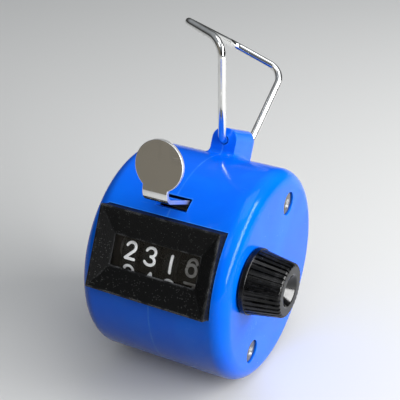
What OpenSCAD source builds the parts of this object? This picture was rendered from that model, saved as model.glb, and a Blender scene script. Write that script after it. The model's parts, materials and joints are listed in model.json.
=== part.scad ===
// Hand tally counter: a plastic drum in two halves, with a reading window, a thumb lever,
// a reset knob and a folding finger loop. Four number wheels with carry pinions run inside.
// Built upright, then laid back on its round side as it is read from above.
// X runs along the drum towards the knob, the window faces -Y and the loop stands on top.

/* [Case] */
// Outer diameter of the drum
case_d = 45; // [42:0.5:52]
// Width of the drum over both end faces
case_w = 32.8; // [32:0.2:40]
// Radius of the rounded end edges
case_round = 3.3; // [2.4:0.1:4]
// Wall thickness of both halves
case_wall = 1.8; // [1.4:0.1:2]
// Chamfer along the seam between the halves
seam_chamfer = 0.2; // [0.1:0.05:0.4]
// Angle by which the counter lies back on its round side
rest_lean = 25; // [0:1:35]

/* [Screws] */
// Distance of the upper screw behind the drum axis
screw_top_y = 0.3; // [-1:0.1:2]
// Height of the upper screw above the drum axis
screw_top_z = 15.6; // [15.2:0.1:16]
// Distance of the lower screw behind the drum axis
screw_low_y = -2.9; // [-4:0.1:0]
// Height of the lower screw, below the drum axis
screw_low_z = -15.4; // [-16:0.1:-14.5]
// Diameter of the screw shank
screw_d = 2; // [1.6:0.1:2.4]
// Diameter of the screw head
screw_head_d = 3.9; // [3.4:0.1:4.2]
// Height of the screw head
screw_head_h = 1.3; // [1:0.1:1.6]
// Length of the screw under its head
screw_len = 22; // [18:1:25]
// Outer diameter of the screw bosses
boss_d = 5.2; // [4.8:0.1:5.4]

/* [Lug and finger loop] */
// Width of the lug
lug_w = 5.7; // [5:0.1:6.5]
// Length of the lug from its flat front to its round rear
lug_len = 12; // [10:0.5:12.5]
// Distance of the lug's front face ahead of the drum axis
lug_ahead = 0.9; // [0:0.1:2]
// Height of the lug's crown above the drum axis, as an addition to the drum radius
lug_rise = 5.7; // [5:0.1:7]
// Radius of the lug's upper corners
lug_round = 2.4; // [1:0.1:2.4]
// Wire diameter of the finger loop
wire_d = 1.7; // [1.4:0.1:2]
// Running clearance of the wire in the lug, on the radius
wire_clear = 0.1; // [0.05:0.01:0.1]
// Distance of the loop's hole under the lug's crown
hole_under_crown = 2.6; // [2.2:0.1:2.8]
// Length of the loop's straight foot, between its corner points
loop_foot = 15.4; // [15.4:0.2:19]
// Widest span of the loop, at the fold
loop_span = 36.4; // [30:0.2:40]
// Height of the fold above the hole
loop_rise = 18.4; // [18:0.2:22]
// Length of the folded end, from the fold to the end bar
loop_fold_len = 12.4; // [11:0.2:15]
// Angle that the end is folded over to the left
loop_fold = 72; // [40:1:80]
// Length of the end bar, between its corner points
loop_end = 25; // [16:0.5:28]
// Angle by which the loop's upper part is set back in its own plane
loop_set = 2.6; // [0:0.1:3]
// Bend radius at the fold
fold_bend = 3.7; // [3:0.1:5]
// Bend radius at the foot
foot_bend = 2; // [1.4:0.1:2]
// Bend radius at the end bar
end_bend = 3.8; // [3:0.1:4]

/* [Window] */
// Width of the bezel
bezel_w = 26.2; // [24:0.1:26.4]
// Height of the bezel
bezel_h = 16.8; // [15:0.1:17.4]
// Height of the bezel's middle above the drum axis
bezel_z = 0.94; // [0:0.02:1.2]
// Distance that the bezel's rim stands out of the drum
bezel_proud = 1.26; // [0.8:0.02:2]
// Depth of the funnel from the rim to the window
funnel_depth = 1.7; // [1:0.1:2]
// Width of the flat rim round the funnel
bezel_rim = 0.5; // [0.3:0.05:1]
// Depth of the bezel from its rim to its back
bezel_depth = 4.5; // [4:0.1:4.6]
// Width of the window
window_w = 18.8; // [18:0.1:19]
// Height of the window
window_h = 6.7; // [6:0.1:7.5]
// Thickness of the clear pane
pane_t = 0.8; // [0.5:0.1:1]
// Margin of the pane round the window
pane_lap = 0.6; // [0.4:0.1:0.8]
// Seating clearance of the bezel and the pane
seat_clear = 0.1; // [0.05:0.05:0.2]

/* [Number wheels] */
// Diameter of a number wheel
wheel_d = 15.6; // [15:0.1:15.8]
// Gap between two wheels' rims, for the carry pinion
wheel_gap = 1.5; // [1.4:0.05:1.8]
// Distance of the wheels' middle to the right of the seam
wheel_shift = 0.3; // [0:0.05:0.4]
// Distance from the pane to the wheels
pane_gap = 1.06; // [0.8:0.02:1.4]
// Height of the number shaft above the drum axis
train_z = 0.55; // [0.3:0.05:0.8]
// Diameter of the number shaft
shaft_d = 3; // [2.6:0.1:3.2]
// Running clearance of shafts and pins, on the radius
run_clear = 0.05; // [0.02:0.01:0.08]
// Outer diameter of the wheel hubs
hub_d = 5.2; // [4.8:0.1:5.4]
// Tooth size of gear and pinion, pitch diameter per tooth
gear_module = 0.64; // [0.63:0.005:0.66]
// Diameter of the pinion shaft
pinion_shaft_d = 1.5; // [1.2:0.1:1.5]
// Width of a carry pinion
pinion_w = 1.3; // [1.2:0.05:1.4]

/* [Frame] */
// Thickness of the frame plates
plate_t = 0.8; // [0.6:0.1:1]
// Room between a frame plate and the end wall beside it
plate_side = 1.9; // [1.8:0.05:2]
// Clearance of the frame plates in the bore
plate_clear = 1.2; // [0.8:0.1:1.6]
// Diameter of the frame spacers
spacer_d = 3.2; // [2.8:0.1:3.4]

/* [Thumb lever] */
// Thickness of the lever's sheet
sheet_t = 0.85; // [0.7:0.05:0.9]
// Width of the lever's shank
shank_w = 6; // [5:0.1:6.4]
// Diameter of the thumb pad
pad_d = 10; // [8:0.2:12]
// Angle by which the pad leans forward
pad_lean = 12.7; // [0:0.1:25]
// Height of the shank's underside above the drum axis
shank_z = 12.5; // [12.3:0.05:12.6]
// Reach of the shank ahead of the drum, to the start of the bend
shank_reach = 2.65; // [2:0.05:5]
// Inner radius of the bend below the pad
pad_bend = 1.6; // [1:0.1:2.5]
// Width of the slot that the lever moves in
slot_w = 6.9; // [6.8:0.1:7.4]
// Height of the slot
slot_h = 2.55; // [2.5:0.05:2.8]
// Clearance above the resting shank
slot_top_clear = 0.3; // [0.2:0.05:0.35]
// Diameter of the lever's pin
pin_d = 2; // [1.6:0.1:2]
// Distance of the lever's pin behind the number shaft
pin_behind = 1; // [0.8:0.1:1.2]

/* [Springs] */
// Wire diameter of the lever's spring
spring_wire = 0.4; // [0.3:0.05:0.5]
// Turns of the lever's spring
spring_turns = 7; // [5:1:8]
// Thickness of the leaf springs
leaf_t = 0.3; // [0.2:0.05:0.35]

/* [Reset knob] */
// Diameter of the knob's flange
knob_d = 13.4; // [12:0.2:14]
// Diameter of the knob's outer end
knob_end_d = 10.8; // [9:0.2:11]
// Distance that the knob stands out of the case
knob_out = 8.3; // [6:0.1:10]
// Thickness of the knob's flange
knob_flange = 1.1; // [0.8:0.1:1.5]
// Number of ribs round the knob
knob_ribs = 26; // [20:1:30]
// Depth of the grooves between the ribs
rib_depth = 0.5; // [0.3:0.05:0.6]
// Diameter of the knob's hub, in the case
knob_hub_d = 6; // [5:0.1:6.4]

/* [Hidden] */
$fn = 64;
eps = 0.01;
// A straight stretch laps this far into a bend, which is drawn out thinner by this much
bend_lap = 0.15;
bend_thin = 0.02;
case_r = case_d / 2;
half_w = case_w / 2;
bore_r = case_r - case_wall;
inner_w = half_w - case_wall;
inner_round = max(case_round - case_wall, 0.5);
plate_out = inner_w - plate_side;
plate_in = plate_out - plate_t;
plate_r = bore_r - plate_clear;

// Screws and bosses
SCREWS = [[screw_top_y, screw_top_z], [screw_low_y, screw_low_z]];
head_clear = 0.2;
head_sunk = 0.25;
shank_clear = 0.05;
head_in = half_w - head_sunk - screw_head_h;
boss_foot_d = boss_d + 1.4;
driver_w = 0.55;
driver_l = 2.3;
driver_deep = 0.8;

// Lug and loop
crown_z = case_r + lug_rise;
hole_z = crown_z - hole_under_crown;
wire_r = wire_d / 2;
loop_y = lug_len / 2 - lug_ahead + 0.7;

// Bezel and pane
bezel_front = -(case_r + bezel_proud);
bezel_back = bezel_front + bezel_depth;
window_y = bezel_front + funnel_depth;
window_z = bezel_z + 0.1;
window_lip = 0.2;
pane_back = window_y + window_lip + pane_t;
bezel_wall = 1.6;
tab_out = 0.8;
tab_t = 0.9;
tab_h = 8;
tab_clear = 0.2;

// Number wheels, with two gear teeth for each of the ten numerals
gear_teeth = 20;
pinion_teeth = 8;
wheel_r = wheel_d / 2;
train_y = pane_back + pane_gap + wheel_r;
shaft_r = shaft_d / 2;
hub_r = hub_d / 2;
rim_t = 1.1;
web_t = 1.2;
stack_side = 2.5;
wheel_pitch = (plate_in - stack_side) / 2;
wheel_w = wheel_pitch - wheel_gap;
WHEEL_X = [for (i = [-1.5, -0.5, 0.5, 1.5]) wheel_shift + i * wheel_pitch];
PINION_X = [for (i = [-1, 0, 1]) wheel_shift + i * wheel_pitch];
hub_w = wheel_pitch - 0.05;
side_w = (wheel_gap - 0.2) / 2;
gear_r = gear_module * gear_teeth / 2;
pinion_r = gear_module * pinion_teeth / 2;
gear_tip = gear_r + 0.75 * gear_module;
gear_root = gear_r - 1.2 * gear_module;
pinion_tip = pinion_r + 0.9 * gear_module;
pinion_root = pinion_r - 1.1 * gear_module;
tooth_root = 1.45 * gear_module;
tooth_tip = 0.6 * gear_module;
transfer_r = gear_root - 0.2;
transfer_tip = gear_r + 0.2;
transfer_tooth = 1.1;
transfer_step = 360 / gear_teeth;
// Turn of each wheel from its reading to the next carry, for the reading 2 3 1 6
CARRY = [0, 234, 306, 126];
pinion_y = train_y + gear_r + pinion_r;
pinion_shaft_r = pinion_shaft_d / 2;
pinion_hub_r = pinion_shaft_r + run_clear + 0.2;
hub_gap = 0.1;

// Frame
plate_front = train_y - 5;
SPACERS = [[4.5, shank_z - 0.6], [7, -8.5]];
spacer_r = spacer_d / 2;
tenon_r = spacer_r - 0.6;
rivet_r = spacer_r + 0.3;
rivet_h = 0.6;
hole_ease = 0.02;
bush_gap = 0.05;

// Ratchet on the units wheel
ratchet_teeth = 10;
ratchet_tip = 3.6;
ratchet_root = 2.8;
ratchet_x = WHEEL_X[3] + hub_w / 2;
ratchet_t = 0.8;
ratchet_hub_r = 2.2;

// Thumb lever
shank_mid = shank_z + sheet_t / 2;
slot_top = shank_z + sheet_t + slot_top_clear;
slot_low = slot_top - slot_h;
pin_r = pin_d / 2;
pin_y = train_y + pin_behind;
pin_z = shank_z - pin_r - run_clear;
curl_r = pin_r + run_clear + sheet_t;
bend_mid = pad_bend + sheet_t / 2;
bend_y = -(case_r + shank_reach);
curl_right = 0.5;
web_front = train_y - 3.1;
web_rear = train_y - 1.3;
arm_gap = 0.4;
arm_out = plate_in - arm_gap;
arm_in = arm_out - sheet_t;
arm_clear = 0.3;
arm_wall = 0.9;
arm_window_r = ratchet_hub_r + arm_clear;
arm_window_travel = 1.9;
arm_front_low = 1;
arm_front_top = 2;
arm_neck = 3;
pawl_behind = 5.4;
pawl_drop = 5.2;
pawl_root_y = train_y + pawl_behind;
pawl_root_z = train_z - pawl_drop;
pawl_rivet_r = 0.6;
pawl_eye_r = 1.3;
pawl_x = ratchet_x + 0.05;
pawl_w = ratchet_t - 0.1;

// Lever spring
spring_r = pin_r + 0.5;
spring_left = curl_right + 0.5;
spring_right = arm_in - 1.6;

// Reset knob and shaft ends
knob_x = half_w + 0.3;
knob_end_x = half_w + knob_out;
knob_hub_r = knob_hub_d / 2;
knob_hub_in = plate_out + 0.5;
knob_hub_clear = 0.1;
knob_dish_r = knob_end_d / 2 - 1.5;
knob_dish_deep = 2.2;
rib_share = 0.3;
shaft_left = -(plate_out + 1.7);
shaft_right = knob_end_x - 3;
groove_w = 0.6;
groove_deep = 0.4;
clip_t = 0.6;
clip_x = -(plate_out + 0.3 + clip_t);
clip_groove_r = shaft_r - 0.35;
clip_wide = 1.2;
clip_r = shaft_r + clip_wide;

// Lays the upright counter back, with the middle of its left end face at the origin
module laid_back() {
    rotate([-rest_lean, 0, 0]) translate([half_w, 0, 0]) children();
}

// Round bar along X from x0 to x1 through the point y, z
module bar_x(x0, x1, r, y, z) {
    translate([x0, y, z]) rotate([0, 90, 0]) cylinder(h = x1 - x0, r = r);
}

// Flat outline drawn in Y and Z, made into a plate from x0 to x1
module plate_x(x0, x1) {
    translate([x0, 0, 0]) rotate([90, 0, 90]) linear_extrude(x1 - x0) children();
}

// Gear outline with straight-sided teeth
function tooth_corner(r, w, side, a) =
    let (turn = a + side * asin(w / 2 / r)) [r * cos(turn), r * sin(turn)];
function gear_outline(teeth, root, tip, first) =
    [for (i = [0 : teeth - 1]) let (a = first + i * 360 / teeth)
        each [tooth_corner(root, tooth_root, -1, a), tooth_corner(tip, tooth_tip, -1, a),
            tooth_corner(tip, tooth_tip, 1, a), tooth_corner(root, tooth_root, 1, a)]];

// Half of the drum's profile, radius against distance from the seam
module drum_profile(r, w, round_r, chamfer) {
    polygon([[0, 0], [r - chamfer, 0], [r, chamfer], [r, w - round_r], [r - round_r, w], [0, w]]);
    translate([r - round_r, w - round_r]) circle(round_r);
}

module drum_half(r, w, round_r, chamfer) {
    rotate([0, 90, 0]) rotate_extrude($fn = 128) intersection() {
        drum_profile(r, w, round_r, chamfer);
        square([r, w]);
    }
}

// Lug outline seen from the front, with rounded upper corners
module lug_front_outline() {
    corner_x = lug_w / 2 - lug_round;
    corner_z = crown_z - lug_round;
    translate([-lug_w / 2, 0]) square([lug_w, corner_z]);
    translate([-corner_x, 0]) square([2 * corner_x, crown_z]);
    for (s = [-1, 1]) translate([s * corner_x, corner_z]) circle(lug_round);
}

// Lug outline seen from above, flat in front and round behind
module lug_plan_outline() {
    straight = lug_len - lug_w / 2;
    translate([-lug_w / 2, -lug_ahead]) square([lug_w, straight]);
    translate([0, straight - lug_ahead]) circle(lug_w / 2);
}

module lug_half() {
    intersection() {
        translate([0, lug_len, 0]) rotate([90, 0, 0]) linear_extrude(2 * lug_len) lug_front_outline();
        linear_extrude(crown_z + 1) lug_plan_outline();
        translate([0, -lug_len, bore_r / 2]) cube([lug_w, 3 * lug_len, crown_z]);
    }
}

// One half of the case, drawn for the right side without its knob hole
module case_half() {
    difference() {
        union() {
            drum_half(case_r, half_w, case_round, seam_chamfer);
            lug_half();
        }
        translate([-eps, 0, 0]) drum_half(bore_r, inner_w + eps, inner_round, 0);
        translate([-1, 0, hole_z]) rotate([90, 0, 0])
            cylinder(h = 4 * lug_len, r = wire_r + wire_clear, center = true);
        translate([0, 0, hole_z]) rotate([90, 0, 0])
            cylinder(h = 4 * lug_len, r = wire_r + wire_clear, center = true);
        translate([-1, bezel_front - 1, bezel_z - bezel_h / 2 - seat_clear])
            cube([1 + bezel_w / 2 + seat_clear, bezel_depth + 4, bezel_h + 2 * seat_clear]);
        translate([-1, -case_r - 1, slot_low]) cube([1 + slot_w / 2, case_r + 1 + pin_y, slot_h]);
    }
}

// Boss with a wide foot that carries the frame plate
module screw_boss() {
    for (s = SCREWS) {
        bar_x(0, inner_w + eps, boss_d / 2, s[0], s[1]);
        bar_x(plate_out, inner_w + eps, boss_foot_d / 2, s[0], s[1]);
    }
}

module boss_inside() {
    intersection() {
        screw_boss();
        drum_half(bore_r + eps, inner_w + 2 * eps, inner_round, 0);
    }
}

module left_case() {
    color("dodgerblue") laid_back() difference() {
        mirror([1, 0, 0]) union() {
            case_half();
            boss_inside();
        }
        for (s = SCREWS)
            bar_x(head_in - screw_len - 1, 1, screw_d / 2 + shank_clear, s[0], s[1]);
    }
}

module right_case() {
    color("dodgerblue") laid_back() difference() {
        union() {
            case_half();
            boss_inside();
        }
        for (s = SCREWS) {
            bar_x(-1, half_w, screw_d / 2 + shank_clear, s[0], s[1]);
            bar_x(head_in, half_w + 1, screw_head_d / 2 + head_clear, s[0], s[1]);
        }
        bar_x(inner_w - 1, half_w + 1, knob_hub_r + knob_hub_clear, train_y, train_z);
    }
}

module case_screws() {
    color("silver") laid_back() for (s = SCREWS) difference() {
        union() {
            bar_x(head_in, head_in + screw_head_h, screw_head_d / 2, s[0], s[1]);
            bar_x(head_in - screw_len, head_in + eps, screw_d / 2, s[0], s[1]);
        }
        translate([head_in + screw_head_h - driver_deep, s[0], s[1]]) for (a = [20, 110]) rotate([a, 0, 0])
            translate([0, -driver_l / 2, -driver_w / 2]) cube([2 * driver_deep, driver_l, driver_w]);
    }
}

// Rectangle seen from the front, pushed back from y0 to y1
module front_block(w, h, z, y0, y1) {
    translate([-w / 2, y0, z - h / 2]) cube([w, y1 - y0, h]);
}

// Sloping funnel from the rim to the window
module funnel() {
    mouth_w = bezel_w / 2 - bezel_rim;
    mouth_h = bezel_h / 2 - bezel_rim;
    deep = funnel_depth;
    slope_w = (mouth_w - window_w / 2) / deep;
    slope_top = (bezel_z + mouth_h - window_z - window_h / 2) / deep;
    slope_low = (window_z - window_h / 2 - bezel_z + mouth_h) / deep;
    out = 1;
    intersection() {
        translate([0, 0, window_z - 2 * bezel_h]) linear_extrude(4 * bezel_h)
            polygon([[-window_w / 2, window_y], [window_w / 2, window_y],
                [mouth_w + out * slope_w, bezel_front - out],
                [-mouth_w - out * slope_w, bezel_front - out]]);
        plate_x(-bezel_w, bezel_w)
            polygon([[window_y, window_z - window_h / 2], [window_y, window_z + window_h / 2],
                [bezel_front - out, bezel_z + mouth_h + out * slope_top],
                [bezel_front - out, bezel_z - mouth_h - out * slope_low]]);
    }
}

module bezel() {
    pane_w = window_w + 2 * pane_lap + 2 * seat_clear;
    pane_h = window_h + 2 * pane_lap + 2 * seat_clear;
    tab_y = -sqrt(pow(bore_r, 2) - pow(tab_h / 2 + bezel_z, 2)) + tab_clear;
    color("#202224") laid_back() difference() {
        union() {
            front_block(bezel_w, bezel_h, bezel_z, bezel_front, bezel_back);
            front_block(bezel_w + 2 * tab_out, tab_h, bezel_z, tab_y, tab_y + tab_t);
        }
        funnel();
        front_block(window_w, window_h, window_z, window_y - eps, bezel_back + 1);
        front_block(pane_w, pane_h, window_z, window_y + window_lip, pane_back);
        front_block(bezel_w - 2 * bezel_wall, bezel_h - 2 * bezel_wall, bezel_z,
            pane_back - eps, bezel_back + 2);
    }
}

module window_pane() {
    color("lightcyan", 0.3) laid_back()
        front_block(window_w + 2 * pane_lap, window_h + 2 * pane_lap, window_z,
            window_y + window_lip, pane_back);
}

// Stamped disc with a straight front edge and its bearing holes
module frame_plate() {
    difference() {
        intersection() {
            circle(plate_r, $fn = 128);
            translate([plate_front, -case_r]) square([case_d, case_d]);
        }
        for (s = SCREWS) translate([s[0], s[1]]) circle(boss_d / 2 + seat_clear);
        for (s = SPACERS) translate([s[0], s[1]]) circle(tenon_r + hole_ease);
        translate([train_y, train_z]) circle(shaft_r + run_clear);
        translate([pinion_y, train_z]) circle(pinion_shaft_r + hole_ease);
        translate([pin_y, pin_z]) circle(pin_r + hole_ease);
    }
}

module frame_plate_left() {
    color("lightgray") laid_back() plate_x(-plate_out, -plate_in) frame_plate();
}

module frame_plate_right() {
    color("lightgray") laid_back() plate_x(plate_in, plate_out) frame_plate();
}

// Riveted rods that hold the plates apart
module frame_spacers() {
    color("gray") laid_back() for (s = SPACERS) {
        bar_x(-plate_in, plate_in, spacer_r, s[0], s[1]);
        bar_x(-plate_out - eps, plate_out + eps, tenon_r, s[0], s[1]);
        bar_x(-plate_out - rivet_h, -plate_out, rivet_r, s[0], s[1]);
        bar_x(plate_out, plate_out + rivet_h, rivet_r, s[0], s[1]);
    }
}

// Shaft with the reset groove along the wheels and a groove for its clip
module number_shaft() {
    color("silver") laid_back() difference() {
        bar_x(shaft_left, shaft_right, shaft_r, train_y, train_z);
        translate([WHEEL_X[0] - hub_w / 2, train_y - groove_w / 2, train_z + shaft_r - groove_deep])
            cube([WHEEL_X[3] - WHEEL_X[0] + hub_w, groove_w, 1]);
        difference() {
            bar_x(clip_x - hole_ease, clip_x + clip_t + hole_ease, shaft_r + 1, train_y, train_z);
            bar_x(clip_x - 1, clip_x + clip_t + 1, clip_groove_r, train_y, train_z);
        }
    }
}

module shaft_clip() {
    opening = 1.3 * clip_groove_r;
    color("dimgray") laid_back() difference() {
        bar_x(clip_x, clip_x + clip_t, clip_r, train_y, train_z);
        bar_x(clip_x - 1, clip_x + clip_t + 1, clip_groove_r + hole_ease, train_y, train_z);
        translate([clip_x - 1, train_y - opening / 2, train_z]) cube([clip_t + 2, opening, 2 * clip_r]);
    }
}

// Tube along X round a shaft
module sleeve_x(x0, x1, r_out, r_in, y, z) {
    difference() {
        bar_x(x0, x1, r_out, y, z);
        bar_x(x0 - 1, x1 + 1, r_in, y, z);
    }
}

module shaft_bush() {
    color("tan") laid_back()
        sleeve_x(-plate_in + bush_gap, WHEEL_X[0] - hub_w / 2 - bush_gap, hub_r - 0.4, shaft_r + run_clear,
            train_y, train_z);
}

// Ribbed knob with a hub through the case and a dished end
module reset_knob() {
    cone_x = knob_x + knob_flange;
    cone_r = knob_d / 2 - 0.2;
    end_r = knob_end_d / 2;
    rib_len = knob_end_x - cone_x;
    slant = atan((cone_r - end_r) / rib_len);
    rib_w = rib_share * PI * (cone_r + end_r) / knob_ribs;
    color("#1a1a1c") laid_back() translate([0, train_y, train_z]) rotate([0, 90, 0]) difference() {
        union() {
            translate([0, 0, knob_x]) cylinder(h = knob_flange, r = knob_d / 2);
            translate([0, 0, cone_x - eps]) cylinder(h = rib_len + eps, r1 = cone_r, r2 = end_r);
            translate([0, 0, knob_hub_in]) cylinder(h = knob_x - knob_hub_in + eps, r = knob_hub_r);
        }
        for (i = [0 : knob_ribs - 1]) rotate([0, 0, i * 360 / knob_ribs])
            translate([cone_r - rib_depth, -rib_w / 2, cone_x]) rotate([0, -slant, 0])
                cube([2 * rib_depth + 1, rib_w, rib_len + 1]);
        translate([0, 0, knob_end_x - knob_dish_deep])
            cylinder(h = knob_dish_deep + eps, r1 = knob_dish_r / 3, r2 = knob_dish_r);
        translate([0, 0, knob_hub_in - 1])
            cylinder(h = shaft_right - knob_hub_in + 1 + bush_gap, r = shaft_r + hole_ease);
    }
}

// Number wheel: rim, web and hub, a gear on its right and transfer teeth on its left
module number_wheel(i, has_gear, has_transfer) {
    color("#26282a") laid_back() translate([WHEEL_X[i], train_y, train_z]) rotate([0, 90, 0]) difference() {
        union() {
            difference() {
                cylinder(h = wheel_w, r = wheel_r, center = true, $fn = 96);
                cylinder(h = wheel_w + 1, r = wheel_r - rim_t, center = true);
            }
            cylinder(h = web_t, r = wheel_r - rim_t + eps, center = true);
            cylinder(h = hub_w, r = hub_r, center = true);
            if (has_gear) {
                translate([0, 0, wheel_w / 2 - eps]) linear_extrude(side_w + eps)
                    polygon(gear_outline(gear_teeth, gear_root, gear_tip, transfer_step / 2));
                cylinder(h = wheel_w / 2, r = gear_root);
            }
            if (has_transfer) mirror([0, 0, 1]) {
                cylinder(h = wheel_w / 2 + side_w, r = transfer_r);
                for (s = [-0.5, 0.5]) rotate([0, 0, 90 + CARRY[i] + s * transfer_step])
                    translate([transfer_r - 1, -transfer_tooth / 2, wheel_w / 2 - eps])
                        cube([transfer_tip - transfer_r + 1, transfer_tooth, side_w + eps]);
            }
        }
        cylinder(h = hub_w + 1, r = shaft_r + run_clear, center = true);
    }
}

module number_wheel_thousands() { number_wheel(0, true, false); }
module number_wheel_hundreds() { number_wheel(1, true, true); }
module number_wheel_tens() { number_wheel(2, true, true); }
module number_wheel_units() { number_wheel(3, false, true); }

// Ratchet fixed beside the units wheel, with a hub that reaches to the frame plate
module ratchet_wheel() {
    color("goldenrod") laid_back() translate([ratchet_x, train_y, train_z]) rotate([0, 90, 0])
        difference() {
            union() {
                linear_extrude(ratchet_t) polygon([for (i = [0 : ratchet_teeth - 1])
                    let (a = i * 360 / ratchet_teeth, b = a + 300 / ratchet_teeth)
                    each [ratchet_root * [cos(a), sin(a)], ratchet_tip * [cos(b), sin(b)]]]);
                cylinder(h = plate_in - bush_gap - ratchet_x, r = ratchet_hub_r);
            }
            translate([0, 0, -1]) cylinder(h = plate_in, r = shaft_r + run_clear);
        }
}

module pinion_shaft() {
    color("silver") laid_back() bar_x(-plate_out - 0.5, plate_out + 0.5, pinion_shaft_r, pinion_y, train_z);
}

// Sleeves that keep the pinions in place along their shaft
module pinion_bushes() {
    bore = pinion_shaft_r + hole_ease;
    end = plate_in - bush_gap;
    first = PINION_X[0] - pinion_w / 2 - bush_gap;
    last = PINION_X[2] + wheel_pitch - pinion_w / 2;
    color("tan") laid_back() {
        sleeve_x(-end, first, pinion_hub_r, bore, pinion_y, train_z);
        sleeve_x(last, end, pinion_hub_r, bore, pinion_y, train_z);
    }
}

// Carry pinion: all its teeth meet the gear, every other one reaches the transfer teeth
module carry_pinion(i) {
    half = pinion_w / 2;
    color("white") laid_back() translate([PINION_X[i], pinion_y, train_z]) rotate([0, 90, 0]) difference() {
        union() {
            translate([0, 0, -half]) linear_extrude(half)
                polygon(gear_outline(pinion_teeth, pinion_root, pinion_tip, 0));
            translate([0, 0, -eps]) linear_extrude(half + eps)
                polygon(gear_outline(pinion_teeth / 2, pinion_root, pinion_tip, 360 / pinion_teeth));
            cylinder(h = wheel_pitch - half - hub_gap, r = pinion_hub_r);
        }
        translate([0, 0, -wheel_pitch]) cylinder(h = 3 * wheel_pitch, r = pinion_shaft_r + run_clear);
    }
}

module carry_pinion_thousands() { carry_pinion(0); }
module carry_pinion_hundreds() { carry_pinion(1); }
module carry_pinion_tens() { carry_pinion(2); }

// Straight strip in Y and Z between two points, of the leaf springs' thickness
module leaf(p, q) {
    run = q - p;
    translate(p) rotate(atan2(run[1], run[0])) translate([0, -leaf_t / 2]) square([norm(run), leaf_t]);
}

// Leaf that clips round the upper spacer and rests in the ratchet's teeth
module detent_spring() {
    seat = SPACERS[0];
    ring = spacer_r + hole_ease + leaf_t;
    tip_a = 38;
    tip = [train_y, train_z] + (ratchet_tip + leaf_t) * [cos(tip_a), sin(tip_a)];
    color("slategray") laid_back() plate_x(pawl_x, pawl_x + pawl_w) difference() {
        union() {
            translate(seat) circle(ring);
            leaf(seat + [-ring + leaf_t / 2, 0], tip);
        }
        translate(seat) circle(spacer_r + hole_ease);
    }
}

// Outline of the lever's arm beside the ratchet, with its pin hole and shaft window
module arm_outline() {
    reach = arm_window_r + arm_wall;
    edge = pawl_eye_r;
    rear = train_y + reach;
    front = train_y - arm_window_travel - reach;
    top = shank_z + sheet_t;
    difference() {
        polygon([[web_front, top], [pin_y + curl_r, top], [pin_y + curl_r, pin_z],
            [rear, train_z + reach], [rear, train_z], [pawl_root_y + edge, pawl_root_z + edge],
            [pawl_root_y + edge, pawl_root_z - edge], [pawl_root_y - 2 * edge, pawl_root_z - edge],
            [front, train_z - arm_front_low], [front, train_z + arm_front_top],
            [web_front, pin_z - arm_neck]]);
        translate([pin_y, pin_z]) circle(pin_r + run_clear);
        translate([train_y, train_z]) circle(arm_window_r);
        translate([train_y - arm_window_travel, train_z]) circle(arm_window_r);
        translate([train_y - arm_window_travel, train_z - arm_window_r])
            square([arm_window_travel, 2 * arm_window_r]);
        translate([pawl_root_y, pawl_root_z]) circle(pawl_rivet_r + hole_ease);
    }
}

// Pad and neck standing on the bend, drawn flat and stood up
module pad_outline() {
    translate([-shank_w / 2, -bend_lap]) square([shank_w, pad_d / 2 + bend_lap]);
    translate([0, pad_d / 2]) circle(pad_d / 2);
}

// Bent sheet: pad, bend, shank through the slot, curl round the pin, and the arm on the right
module thumb_lever() {
    turn = 90 - pad_lean;
    color("gainsboro") laid_back() {
        translate([-shank_w / 2, bend_y - bend_lap, shank_z])
            cube([shank_w, web_rear - bend_y + bend_lap, sheet_t]);
        translate([-shank_w / 2, web_rear - eps, shank_z])
            cube([shank_w / 2 + curl_right, pin_y - web_rear + eps, sheet_t]);
        sleeve_x(-shank_w / 2, curl_right, curl_r, pin_r + run_clear, pin_y, pin_z);
        translate([shank_w / 2 - eps, web_front, shank_z])
            cube([arm_out - shank_w / 2 + eps, web_rear - web_front, sheet_t]);
        plate_x(arm_in, arm_out) arm_outline();
        translate([0, bend_y, shank_mid + bend_mid]) {
            translate([-shank_w / 2, 0, 0]) rotate([0, 90, 0]) rotate(-turn) rotate_extrude(angle = turn)
                translate([pad_bend + bend_thin, bend_thin])
                    square([sheet_t - 2 * bend_thin, shank_w - 2 * bend_thin]);
            rotate([-turn, 0, 0]) translate([0, 0, -bend_mid]) rotate([0, 0, 180])
                translate([0, 0, -sheet_t / 2]) linear_extrude(sheet_t) pad_outline();
        }
    }
}

module lever_pin() {
    color("silver") laid_back() bar_x(-plate_out - 0.4, plate_out + 0.4, pin_r, pin_y, pin_z);
}

// Round wire swept along a list of points, six-sided
function ring_frame(points, i) =
    let (a = points[max(i - 1, 0)], b = points[min(i + 1, len(points) - 1)], d = (b - a) / norm(b - a),
        side = cross(d, [0.3, 0.2, 0.93]), u = side / norm(side)) [u, cross(d, u)];
module swept_wire(points, r) {
    sides = 6;
    n = len(points);
    rings = [for (i = [0 : n - 1]) let (f = ring_frame(points, i)) for (k = [0 : sides - 1])
        points[i] + r * (cos(k * 360 / sides) * f[0] + sin(k * 360 / sides) * f[1])];
    walls = [for (i = [0 : n - 2]) for (k = [0 : sides - 1])
        let (a = i * sides + k, b = i * sides + (k + 1) % sides)
        each [[a, b, b + sides], [a, b + sides, a + sides]]];
    caps = [for (k = [1 : sides - 2]) each [[0, k + 1, k],
        [(n - 1) * sides, (n - 1) * sides + k, (n - 1) * sides + k + 1]]];
    polyhedron(rings, concat(walls, caps));
}

// Torsion spring: a leg under the lever's web, the coil on the pin, and a leg under the upper spacer
module lever_spring() {
    steps = 12;
    count = spring_turns * steps;
    pitch = (spring_right - spring_left) / count;
    low = pin_z - spring_r;
    coil = [for (i = [0 : count]) let (a = i * 360 / steps)
        [spring_left + i * pitch, pin_y - spring_r * sin(a), pin_z - spring_r * cos(a)]];
    leg_web = [spring_left, (web_front + web_rear) / 2, shank_z - spring_wire];
    leg_spacer = [spring_right, SPACERS[0][0] + 1, min(low, SPACERS[0][1] - spacer_r - spring_wire)];
    color("slategray") laid_back() swept_wire(concat([leg_web], coil, [leg_spacer]), spring_wire / 2);
}

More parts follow.
